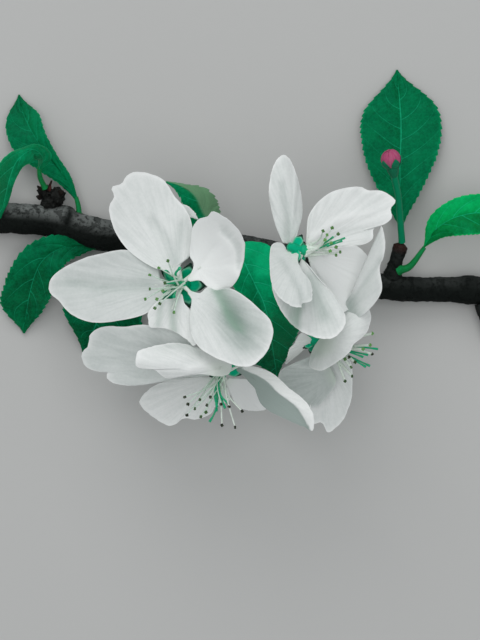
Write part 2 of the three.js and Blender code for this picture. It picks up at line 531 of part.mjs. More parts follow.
function leafGrid(leaf, rows, columns) {
  const spine = smooth(leaf.spine);
  const grid = [];
  for (let i = 0; i <= rows; i++) {
    const t = i / rows;
    const centre = spine.getPointAt(t);
    const tangent = spine.getTangentAt(t);
    const side = new THREE.Vector2(-tangent.y, tangent.x).normalize();
    const row = [];
    for (let j = 0; j < columns; j++) {
      const s = (2 * j) / (columns - 1) - 1;
      const reach = Math.abs(s) * Math.max(0.12, station(s > 0 ? leaf.left : leaf.right, t));
      const lift = s > 0 ? leaf.lift[0] : leaf.lift[1];
      const across = Math.sign(s) * reach;
      row.push(place([centre.x + side.x * across, centre.y + side.y * across, centre.z + lift * reach]));
    }
    grid.push(row);
  }
  return grid;
}

function leafSolid(leaf) {
  const blade = sheet(leafGrid(leaf, LEAF_ROWS, LEAF_COLUMNS), LEAF_THICKNESS);
  const radii = [PETIOLE_RADIUS, PETIOLE_RADIUS, PETIOLE_RADIUS * 0.8];
  return blade.add(drawnBar(leaf.stalk, radii, STALK_SIDES, PETIOLE_STATIONS));
}

// Wood

function branchRadius(t) {
  const rings = BRANCH_RINGS.map(([at, height, half]) => height * Math.exp(-(((t - at) / half) ** 2)));
  return station(BRANCH_RADII, t) + rings.reduce((sum, ring) => sum + ring, 0);
}

function branch(grow) {
  const path = new THREE.CatmullRomCurve3(BRANCH_AXIS.map(place), false, "centripetal");
  return bar(path, (t) => branchRadius(t) + grow, BRANCH_SIDES, BRANCH_STATIONS);
}

function spur(shape, grow) {
  return drawnBar(shape.axis, shape.radii.map((r) => r + grow), SPUR_SIDES, SPUR_STATIONS);
}

function lumps(list, grow) {
  return join(list.map(([centre, radius]) => sphere(place(centre), radius + grow)));
}

// Assembly

// Corners that a cut left on the same spot are moved apart by a few thousandths, so that each edge
// keeps exactly two faces
function apart(positions) {
  const moved = new Float32Array(positions);
  const taken = new Set();
  const key = (i) => [0, 1, 2].map((axis) => Math.round(moved[i + axis] / CORNER_STEP)).join(" ");
  for (let i = 0; i < moved.length; i += 3) {
    while (taken.has(key(i))) moved[i] += 2 * CORNER_STEP;
    taken.add(key(i));
  }
  return moved;
}

// Adds a solid to a group as a named mesh, its corners measured from the group's own place
function add(group, name, shape, finish) {
  const { x, y, z } = group.position;
  const plain = largest(largest(shape).asOriginal().simplify(FACET_TOLERANCE));
  const mesh = plain.translate([-x, -y, -z]).getMesh();
  const geometry = new THREE.BufferGeometry();
  geometry.setAttribute("position", new THREE.BufferAttribute(apart(mesh.vertProperties), 3));
  geometry.setIndex(new THREE.BufferAttribute(new Uint32Array(mesh.triVerts), 1));
  geometry.computeVertexNormals();
  const node = new THREE.Mesh(geometry, new THREE.MeshStandardMaterial(finish));
  node.name = name;
  group.add(node);
}

function groupAt(point) {
  const group = new THREE.Group();
  group.position.copy(point);
  spray.add(group);
  return group;
}

const spray = new THREE.Group();
const branchClear = branch(SEAT_GAP);
const leftSpurClear = lumps(LEFT_SPUR_LUMPS, SEAT_GAP);
const clusterSpurClear = spur(CLUSTER_SPUR, SEAT_GAP);
const rightSpurClear = spur(RIGHT_SPUR, SEAT_GAP);
const woodClear = join([branchClear, leftSpurClear, clusterSpurClear, rightSpurClear]);

const wood = groupAt(place(BRANCH_AXIS[0]));
add(wood, "main_branch", branch(0), FINISHES.bark);
add(wood, "left_spur", lumps(LEFT_SPUR_LUMPS, 0).subtract(branchClear), FINISHES.bark);
add(wood, "cluster_spur", spur(CLUSTER_SPUR, 0).subtract(branchClear), FINISHES.bark);
add(wood, "right_spur", spur(RIGHT_SPUR, 0).subtract(branchClear), FINISHES.bark);
add(wood, "end_twig", spur(END_TWIG, 0).subtract(branchClear), FINISHES.bark);

for (const [name, leaf] of Object.entries(LEAVES)) {
  add(groupAt(place(leaf.stalk[0])), name, leafSolid(leaf).subtract(woodClear), FINISHES.leaf);
}

for (const [name, bloom] of Object.entries(BLOOMS)) {
  const flower = groupAt(place(bloom.heart));
  const clear = petalsOf(bloom, PETAL_THICKNESS + 2 * SEAT_GAP).add(
    sphere(place(bloom.heart), HEART_RADIUS + SEAT_GAP),
  );
  const stamens = stamensOf(bloom, 0).subtract(clear);
  const stalk = stalkOf(bloom).subtract(join([clear, stamensOf(bloom, SEAT_GAP), woodClear]));
  add(flower, `bloom_${name}`, petalsOf(bloom, PETAL_THICKNESS), FINISHES.petal);
  add(flower, `stalk_${name}`, stalk, FINISHES.stalk);
  add(flower, `stamens_${name}`, stamens, FINISHES.stamen);
}

const budFlower = groupAt(place(BUD.centre));
const budPath = new THREE.CatmullRomCurve3(BUD_STALK.map(place), false, "centripetal");
const budClear = ball(place(BUD.centre), BUD.radii.map((r) => r + SEAT_GAP));
const budUrn = sphere(budPath.getPointAt(BUD_URN_PLACE), BUD_URN_RADIUS);
const budStalk = bar(budPath, () => STALK_RADIUS, STALK_SIDES, STALK_STATIONS).add(budUrn);
add(budFlower, "bud", ball(place(BUD.centre), BUD.radii, BUD_DETAIL), FINISHES.bud);
add(budFlower, "stalk_bud", budStalk.subtract(budClear).subtract(woodClear), FINISHES.stalk);

// Origin: the middle of the bounding box, at its bottom
const box = new THREE.Box3().setFromObject(spray, true);
const centre = box.getCenter(new THREE.Vector3());
spray.position.set(-centre.x, -centre.y, -box.min.z);

const floweringBranch = new THREE.Group();
floweringBranch.name = "flowering_branch";
floweringBranch.add(spray);

export default floweringBranch;
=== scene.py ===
# The looks of a flowering branch, cut from a white-blossomed fruit tree and laid down on a floor.
# Shapes are drawn in millimetres in the picture plane: x right, y up, z the height above the floor.
# placed() moves a drawn point along the line of sight to its own height, as the solids were, and
# framed() sets it in the frame, in metres.
import bpy
import math
import numpy as np
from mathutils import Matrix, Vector, noise


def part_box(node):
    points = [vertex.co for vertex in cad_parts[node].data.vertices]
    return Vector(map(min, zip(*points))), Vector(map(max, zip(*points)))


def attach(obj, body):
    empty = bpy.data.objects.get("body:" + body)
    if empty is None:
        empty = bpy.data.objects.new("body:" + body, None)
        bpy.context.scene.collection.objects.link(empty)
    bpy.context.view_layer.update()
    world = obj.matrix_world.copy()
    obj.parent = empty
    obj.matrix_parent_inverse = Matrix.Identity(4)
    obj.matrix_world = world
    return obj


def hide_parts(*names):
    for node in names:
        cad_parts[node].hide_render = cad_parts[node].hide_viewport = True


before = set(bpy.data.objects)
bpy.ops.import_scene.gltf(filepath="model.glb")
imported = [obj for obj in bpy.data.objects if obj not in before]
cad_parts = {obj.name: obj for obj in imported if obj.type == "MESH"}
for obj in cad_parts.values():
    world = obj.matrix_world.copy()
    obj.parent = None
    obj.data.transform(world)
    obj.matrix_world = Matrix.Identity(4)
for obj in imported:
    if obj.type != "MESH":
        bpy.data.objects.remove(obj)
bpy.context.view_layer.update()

# Line of sight, in mm
EYE_HEIGHT = 490.0
FOCUS_HEIGHT = 40.0
VIEW_HEIGHT = 128.0  # how much of the picture plane the view takes in, upwards

# Thicknesses and radii, in mm
PETAL_THICKNESS = 0.26
LEAF_THICKNESS = 0.34
SEPAL_THICKNESS = 0.3
SCALE_THICKNESS = 0.3
BUD_PETAL_THICKNESS = 0.14
BUD_SEPAL_THICKNESS = 0.18
CLAW_RADIUS = 0.5
HEART_RADII = (0.88, 1.1, 1.1)
ANTHER_RADII = (0.36, 0.27, 0.25)
STALK_RADIUS = 0.75
PETIOLE_RADIUS = 0.62
BUD_URN_RADIUS = 1.15

# How finely lines and surfaces are divided: points along, sides round, and rows with columns or sides
CURVE_STEPS = 24
PATH_POINTS = 24
PETAL_GRID = (27, 81)
LEAF_GRID = (150, 27)
SEPAL_GRID = (22, 13)
SCALE_GRID = (14, 9)
HEART_GRID = (14, 24)
ANTHER_GRID = (8, 10)
BOSS_GRID = (12, 20)
URN_GRID = (24, 28)
BUD_PETAL_GRID = (26, 21)
BUD_CORE_GRID = (16, 24)
BUD_URN_GRID = (20, 24)
BUD_SEPAL_GRID = (14, 9)
CLAW_STATIONS, CLAW_SIDES = 9, 10
THREAD_STATIONS = 16
FILAMENT_SIDES = 8
STYLE_SIDES = 10
STALK_STATIONS, STALK_SIDES = 60, 20
PETIOLE_STATIONS, PETIOLE_SIDES = 24, 16
BRANCH_STATIONS, BRANCH_SIDES = 300, 72
SPUR_STATIONS, SPUR_SIDES = 60, 40
LUMP_STATIONS, LUMP_SIDES = 30, 36
BUD_STALK_STATIONS, BUD_STALK_SIDES = 50, 18

# Side veins of a leaf
VEIN_STAGGER = 0.45  # how much nearer the foot the left ones start, in gaps between veins
VEIN_SWEEP = 1.6  # how far they sweep towards the tip, in such gaps
VEIN_BEND = 1.35

# Axis of the branch from its left end to its right end, and its radii at even stations
BRANCH_AXIS = [(-53.6, 21.2, 3.8), (-46, 20.4, 3.7), (-40, 20, 3.6), (-36, 19.4, 3.7), (-32.4, 18.2, 3.8),
               (-28, 17.1, 3.9), (-22.8, 16.5, 4.1), (-8, 15.4, 4.6), (1, 14, 4.9), (10, 12, 4.7),
               (18, 9.6, 4.2), (26, 7.2, 3.7), (32, 6.3, 3.4), (40, 6.1, 3.1), (48, 6, 3), (53.6, 5.8, 3)]
BRANCH_RADII = (3.4, 3.3, 3.3, 3.5, 3.4, 3.2, 3.2, 3.2, 3.2, 3.1, 3, 2.85, 2.7, 2.6, 2.7, 2.8)
# Rings that stand out on the branch: place along it (0 to 1), height, half length
BRANCH_RINGS = [(0.168, 0.55, 0.012), (0.62, 0.25, 0.015), (0.93, 0.45, 0.02)]
# How grey the upper side of the branch is from its left end to its right end, as painted top light together
# with the bark's own grey
BRANCH_GREY_AND_TOP_LIGHT = (1, 1, 0.9, 0.8, 0.5, 0.3, 0.14, 0.14, 0.12)
# Dark scars round the branch: place along it, half length, lean, height of the middle (-1 to 1), strength
BRANCH_SCARS = [(0.179, 0.009, -0.004, 0.2, 1), (0.058, 0.009, 0, -0.4, 1),
                (0.62, 0.01, 0, 0.3, 0.5), (0.93, 0.012, 0, 0.3, 0.6)]

# Spurs and twigs: axis, radii at even stations, and how red the end is
SPURS = {
    "cluster_spur": dict(
        axis=[(3.6, 13.6, 5.6), (3.7, 12.6, 8), (3.8, 12, 9.6)],
        radii=(2.3, 1.9, 2.1), red=0.2,
    ),
    "right_spur": dict(
        axis=[(30.4, 8.6, 4), (30.8, 10.4, 5), (31.6, 13, 5.8), (32.4, 15.4, 6.4)],
        radii=(2, 1.5, 1.4, 1.55), red=0.4,
    ),
    "end_twig": dict(
        axis=[(48.6, 3.4, 3.2), (49.6, -0.6, 3), (50.6, -5, 2.6)],
        radii=(1.9, 1.5, 1.4), red=0.3,
    ),
}
# The left spur is a knot of lumps (centre, radius) with bud scales (foot, tip, half width, redness)
LEFT_SPUR_LUMPS = [((-38, 23.6, 4.6), 1.9), ((-36.6, 24.8, 5.2), 1.7), ((-39, 25.6, 5.8), 1.4),
                   ((-37.7, 22.9, 3.2), 2.2)]
LEFT_SPUR_SCALES = [((-39.2, 25.4, 6), (-40.6, 26.9, 7.4), 0.4, 0.1),
                    ((-38.4, 25.8, 6.8), (-37.6, 28, 8), 0.15, 0.3),
                    ((-38.1, 25.8, 7), (-37.8, 27, 8), 0.18, 1),
                    ((-36.2, 25.2, 6.6), (-35.2, 25.8, 7.8), 0.6, 0.1),
                    ((-39.8, 24.4, 6), (-40.8, 24.8, 7.2), 0.5, 0.1)]

# What a leaf's words mean:
# spine, stalk: middle lines of the blade and of its stalk, from foot to tip
# left, right: half widths at even stations of the spine; lift: how steeply the two halves rise from it
# midrib: where the midrib shows, if that isn't the spine; veins: how many side veins on each half
# teeth: depth of the teeth against the usual; blunt: share of the length in which the foot rounds out
# tone: brightness of the left and right halves from foot to tip, 0 dark and 1 bright, partly the leaf's own
# green and partly painted light and shade, lighter where a leaf faces the light and darker where it turns
# away
# under: how far the two halves show their grey undersides; warm: how far the green turns warmer
# petiole: radius of the stalk's foot against the usual
# A leaf has the plain values where it doesn't state its own.
PLAIN_LEAF = dict(teeth=1, blunt=0.001, under=(0, 0), warm=0, petiole=1)
LEAVES = {
    "leaf_curled": dict(
        spine=[(-40.2, 30, 9), (-39.4, 32.6, 12.5), (-41.4, 34.2, 15), (-44.2, 32.4, 16),
               (-45.8, 29, 14.5), (-46.8, 25, 11), (-48, 20.4, 7)],
        left=(0.2, 1.4, 2.5, 1.5, 1, 0.8, 0.15), right=(0.2, 1.7, 0.9, 2.8, 3.8, 2.8, 0.15),
        lift=(-1.2, -0.6),
        stalk=[(-39, 26.4, 6.8), (-40, 28.6, 8.2), (-40.2, 30.6, 9.2)],
        tone=((0.55, 0.65, 0.65, 0.55), (0.55, 0.55, 0.45, 0.45)), veins=5, teeth=0.3,
    ),
    "leaf_back_left": dict(
        spine=[(-32.4, 23.6, 3.4), (-34.8, 28, 4), (-38, 32.4, 4.4), (-41, 36.6, 3.8), (-43.2, 41, 2.2),
               (-44.2, 45, 0.6)],
        left=(0.2, 1.6, 3.4, 5, 4.2, 0.15), right=(0.2, 1.2, 1.5, 2.2, 2.8, 0.15), lift=(0.1, 0.1),
        stalk=[(-32.2, 21, 4), (-32.3, 22.6, 3.6), (-32.8, 24.6, 3.6)],
        tone=((0.3, 0.3, 0.3, 0.25), (0.35, 0.4, 0.4, 0.3)), veins=6, teeth=0.5,
    ),
    "leaf_low_left": dict(
        spine=[(-27.6, 14.6, 4.2), (-32, 14.8, 5.4), (-36.6, 14, 6.6), (-39.8, 11.4, 7), (-41.6, 7, 5.4),
               (-42.6, 2, 2.4), (-43.2, -2.6, 0.6)],
        left=(0.2, 2, 3.6, 4.4, 4.4, 3, 0.2), right=(0.2, 1.6, 3.4, 4.8, 5.4, 5.2, 0.2),
        lift=(0.25, 0.15),
        stalk=[(-23, 14.4, 4.4), (-25.4, 14.2, 3.2), (-28.6, 14.6, 4.3)],
        tone=((0.15, 0.2, 0.22, 0.22), (0.3, 0.25, 0.25, 0.25)), veins=6,
    ),
    "leaf_low_middle": dict(
        spine=[(-24.4, 12.4, 3), (-26, 7, 4), (-28.4, 0, 3.4), (-31.4, -6.4, 0.6)],
        left=(0.2, 6.4, 8.4, 0.2), right=(0.2, 6, 7.4, 0.2), lift=(0.05, 0.05),
        stalk=[(-22.8, 15, 4), (-23.6, 13.6, 3), (-24.6, 12, 3)],
        tone=((0.2, 0.2, 0.2, 0.2), (0.2, 0.2, 0.2, 0.2)), veins=6,
    ),
    "leaf_upper": dict(
        spine=[(-1.8, 15.4, 11), (-5.2, 18.6, 13), (-7.4, 21.2, 15), (-9.2, 24.8, 16.6), (-12, 26.8, 17),
               (-14.8, 27.6, 16.6)],
        left=(0.2, 2.4, 3.6, 3.6, 2, 0.15), right=(0.2, 1.6, 3.4, 3.5, 0.9, 0.15), lift=(0.3, -0.9),
        stalk=[(2.6, 12.8, 9), (0.6, 13.8, 10), (-2.2, 15.6, 11.2)],
        tone=((0.46, 0.48, 0.52, 0.55), (0.3, 0.3, 0.35, 0.4)), veins=5, under=(0, 1),
    ),
    "leaf_centre": dict(
        spine=[(4.8, 15.3, 12.4), (2.8, 9, 15), (4, 4, 14), (5.6, -2, 9.4), (6.8, -7.4, 4),
               (7.4, -11.6, 0.7)],
        left=(4.8, 7, 7.8, 7, 3.6, 0.15), right=(5.4, 4.6, 4.2, 4.4, 5.6, 0.15), lift=(0.12, 0.1),
        stalk=[(3.4, 12.6, 9.8), (3.2, 14, 11.2), (2.3, 14.4, 12.6)],
        midrib=[(-1, 14.6), (0.9, 11.3), (2.7, 7.7), (4.5, 4.1), (5.5, 0.9), (6.5, -5.5), (7.4, -11.4)],
        tone=((1, 0.8, 0.42, 0.2), (0.9, 0.55, 0.28, 0.15)), veins=7, blunt=0.07,
    ),
    "leaf_right": dict(
        spine=[(36.8, 14.6, 8), (40, 18.8, 11), (44, 20.8, 12.6), (48, 21.4, 12), (52, 20.8, 9),
               (57, 18.4, 4.6)],
        left=(0.2, 2.6, 3.7, 3.8, 3.2, 0.15), right=(0.2, 2.5, 4, 4.2, 3.4, 0.15), lift=(0.2, 0.5),
        stalk=[(31.8, 10, 5.6), (33.8, 10.6, 7), (36.9, 14.5, 8)],
        tone=((0.75, 0.8, 0.85, 0.85), (0.5, 0.55, 0.55, 0.5)), veins=6, teeth=0.5, warm=0.8,
        petiole=1.45,
    ),
    "leaf_back_right": dict(
        spine=[(32.2, 18, 4.6), (32, 23, 4), (32, 31, 3.2), (32.2, 39, 2), (31.4, 50, 0.6)],
        left=(0.2, 4.4, 7.6, 7.4, 0.15), right=(0.2, 4.4, 7.6, 7.4, 0.15), lift=(0.06, 0.06),
        stalk=[(32, 13.6, 4.2), (32.2, 16, 4.6), (32.2, 18.6, 4.6)],
        tone=((0.3, 0.3, 0.3, 0.3), (0.3, 0.3, 0.3, 0.3)), veins=8,
    ),
}

# What a bloom's words mean:
# heart: where its petals, stamens and styles meet; urn: the swollen top of its stalk, under the heart
# sepals: their tips; stalk: its middle line from the foot; anthers, styles: their ends in the picture plane
# bends: where each style bends on its way, in the picture plane; filament_radii: at the foot and the tip
# filament_green: from 0 white to 1 as green as the styles; ripeness: from 0 for green anthers to 1 for dark
# unripe: anthers that are still green, by their order; clear: those that hang clear of the petals, on stout
# white filaments
# A bloom has the plain values where it doesn't state its own.
PLAIN_BLOOM = dict(unripe=(), clear=(), bends=[()] * 5)
BLOOMS = {
    "left": dict(
        heart=(-11.8, 7.2, 33.6), urn=(-11, 7.2, 30.2), urn_radius=1.45, sepal_half_width=1.25,
        sepals=[(-9.8, 11.4, 32.8), (-6.8, 6.8, 33), (-9.9, 2.4, 32.2), (-16, 3.6, 28.6),
                (-16, 10.4, 28.6)],
        stalk=[(2.2, 11.6, 7.6), (-2, 11, 9.4), (-6, 9.4, 15), (-9.4, 7.8, 23), (-10.8, 7.2, 29)],
        anthers=[(-14.4, 11.8), (-16.2, 10.4), (-18, 9), (-18, 6.2), (-18.9, 4.2), (-16.6, 4.2),
                 (-16, 3.3), (-17, 2.4), (-13.2, 1.6), (-15, 7.4), (-15.4, 5.8)],
        filament_length=8.8, filament_radii=(0.26, 0.11), filament_green=0.2,
        ripeness=0.45,
        styles=[(-12, 10.4), (-14.9, 9.8), (-15, 7.4), (-15.4, 5.6), (-13.2, 4.6)],
        bends=[((-12.9, 9.2),), ((-14.2, 8.7),), ((-13.8, 7.4),), ((-14.2, 6.2),), ((-12.9, 6),)],
        style_length=5.2, style_radius=0.27,
    ),
    "low": dict(
        heart=(-3.9, -10.9, 28.4), urn=(-3.4, -9.2, 25.6), urn_radius=1.45, sepal_half_width=1.1,
        sepals=[(-6.6, -8.4, 23.4), (-1, -8, 24), (-3, -6, 22), (0.6, -10.8, 23.4), (-6, -11.4, 22)],
        stalk=[(3, 10.4, 8), (0.6, 6.6, 7.6), (-2, 0, 10), (-3.4, -5.6, 17), (-3.5, -8.8, 24.4)],
        anthers=[(-11, -15.4), (-10.4, -16.8), (-9, -17.7), (-8, -15.9), (-10.6, -19), (-6.6, -17),
                 (-5.9, -15.4), (-6.8, -18.4), (-7.8, -19.3), (-3.8, -16.8), (-3.6, -21), (-1, -21.4),
                 (0.4, -18.2), (-2.2, -17.3)],
        filament_length=11.2, filament_radii=(0.17, 0.1), filament_green=0.22,
        ripeness=1, clear=(10, 11, 12, 13),
        styles=[(-4.6, -17.4), (-6.1, -20.4), (-2.3, -16.8), (-3, -17.6), (-4.7, -18.2)],
        bends=[((-4.7, -13), (-5, -15.4)), ((-4.4, -13), (-4.5, -16), (-5, -18.4)),
               ((-4.3, -13), (-3.9, -15)), ((-4.3, -13), (-3.8, -15.4)), ((-4.5, -13), (-4.6, -15.8))],
        style_length=9.4, style_radius=0.22,
    ),
    "right": dict(
        heart=(12.6, 14, 39.4), urn=(10.8, 14.4, 40), urn_radius=1, sepal_half_width=0.8,
        sepals=[(9.2, 14.8, 39.6), (12.4, 17, 39), (11.7, 11.1, 40.6), (13, 15.4, 36.4), (13, 11, 36)],
        stalk=[(5.4, 12.4, 8), (8.4, 12.8, 9.4), (10.4, 13.2, 15), (11, 13.8, 25), (10.8, 14.3, 39)],
        anthers=[(16.6, 17.8), (18.4, 18.4), (19.6, 17.2), (19.2, 14.6), (20, 13.6), (19.2, 13), (17, 16),
                 (18.2, 15.4), (18, 13.8), (17.4, 17)],
        filament_length=9, filament_radii=(0.42, 0.11), filament_green=0,
        ripeness=0.5, unripe=(6, 7, 8, 9),
        styles=[(21, 16.4), (20.4, 15.8), (19, 15.4), (18.6, 16.6), (17.6, 15)],
        style_length=9, style_radius=0.17,
    ),
    "corner": dict(
        heart=(16.4, -4.6, 24.2), urn=(14.9, -4.2, 22.4), urn_radius=1, sepal_half_width=0.6,
        sepals=[(13, -3.4, 20.6), (16, -3, 20), (14, -6.6, 20), (17.2, -6, 19.6), (12.6, -5.6, 22)],
        stalk=[(5.2, 10.8, 8), (8.6, 8.6, 8.4), (13.6, 4.2, 11.4), (15.6, -0.4, 16), (14.8, -3.9, 21.4)],
        anthers=[(21, -7.8), (21.8, -7.4), (23, -8.4), (22.2, -9.4), (22.4, -11.2), (21, -12.2),
                 (26.4, -2.7), (26, -5), (26.4, -6.8), (24.6, -5.8)],
        filament_length=10.6, filament_radii=(0.42, 0.26), filament_green=0,
        ripeness=0.8, unripe=(6, 7, 9),
        styles=[(27.6, -5.8), (25.2, -9.4), (26, -9.2), (25.6, -7), (24.6, -7.4)],
        style_length=10.4, style_radius=0.2,
    ),
}
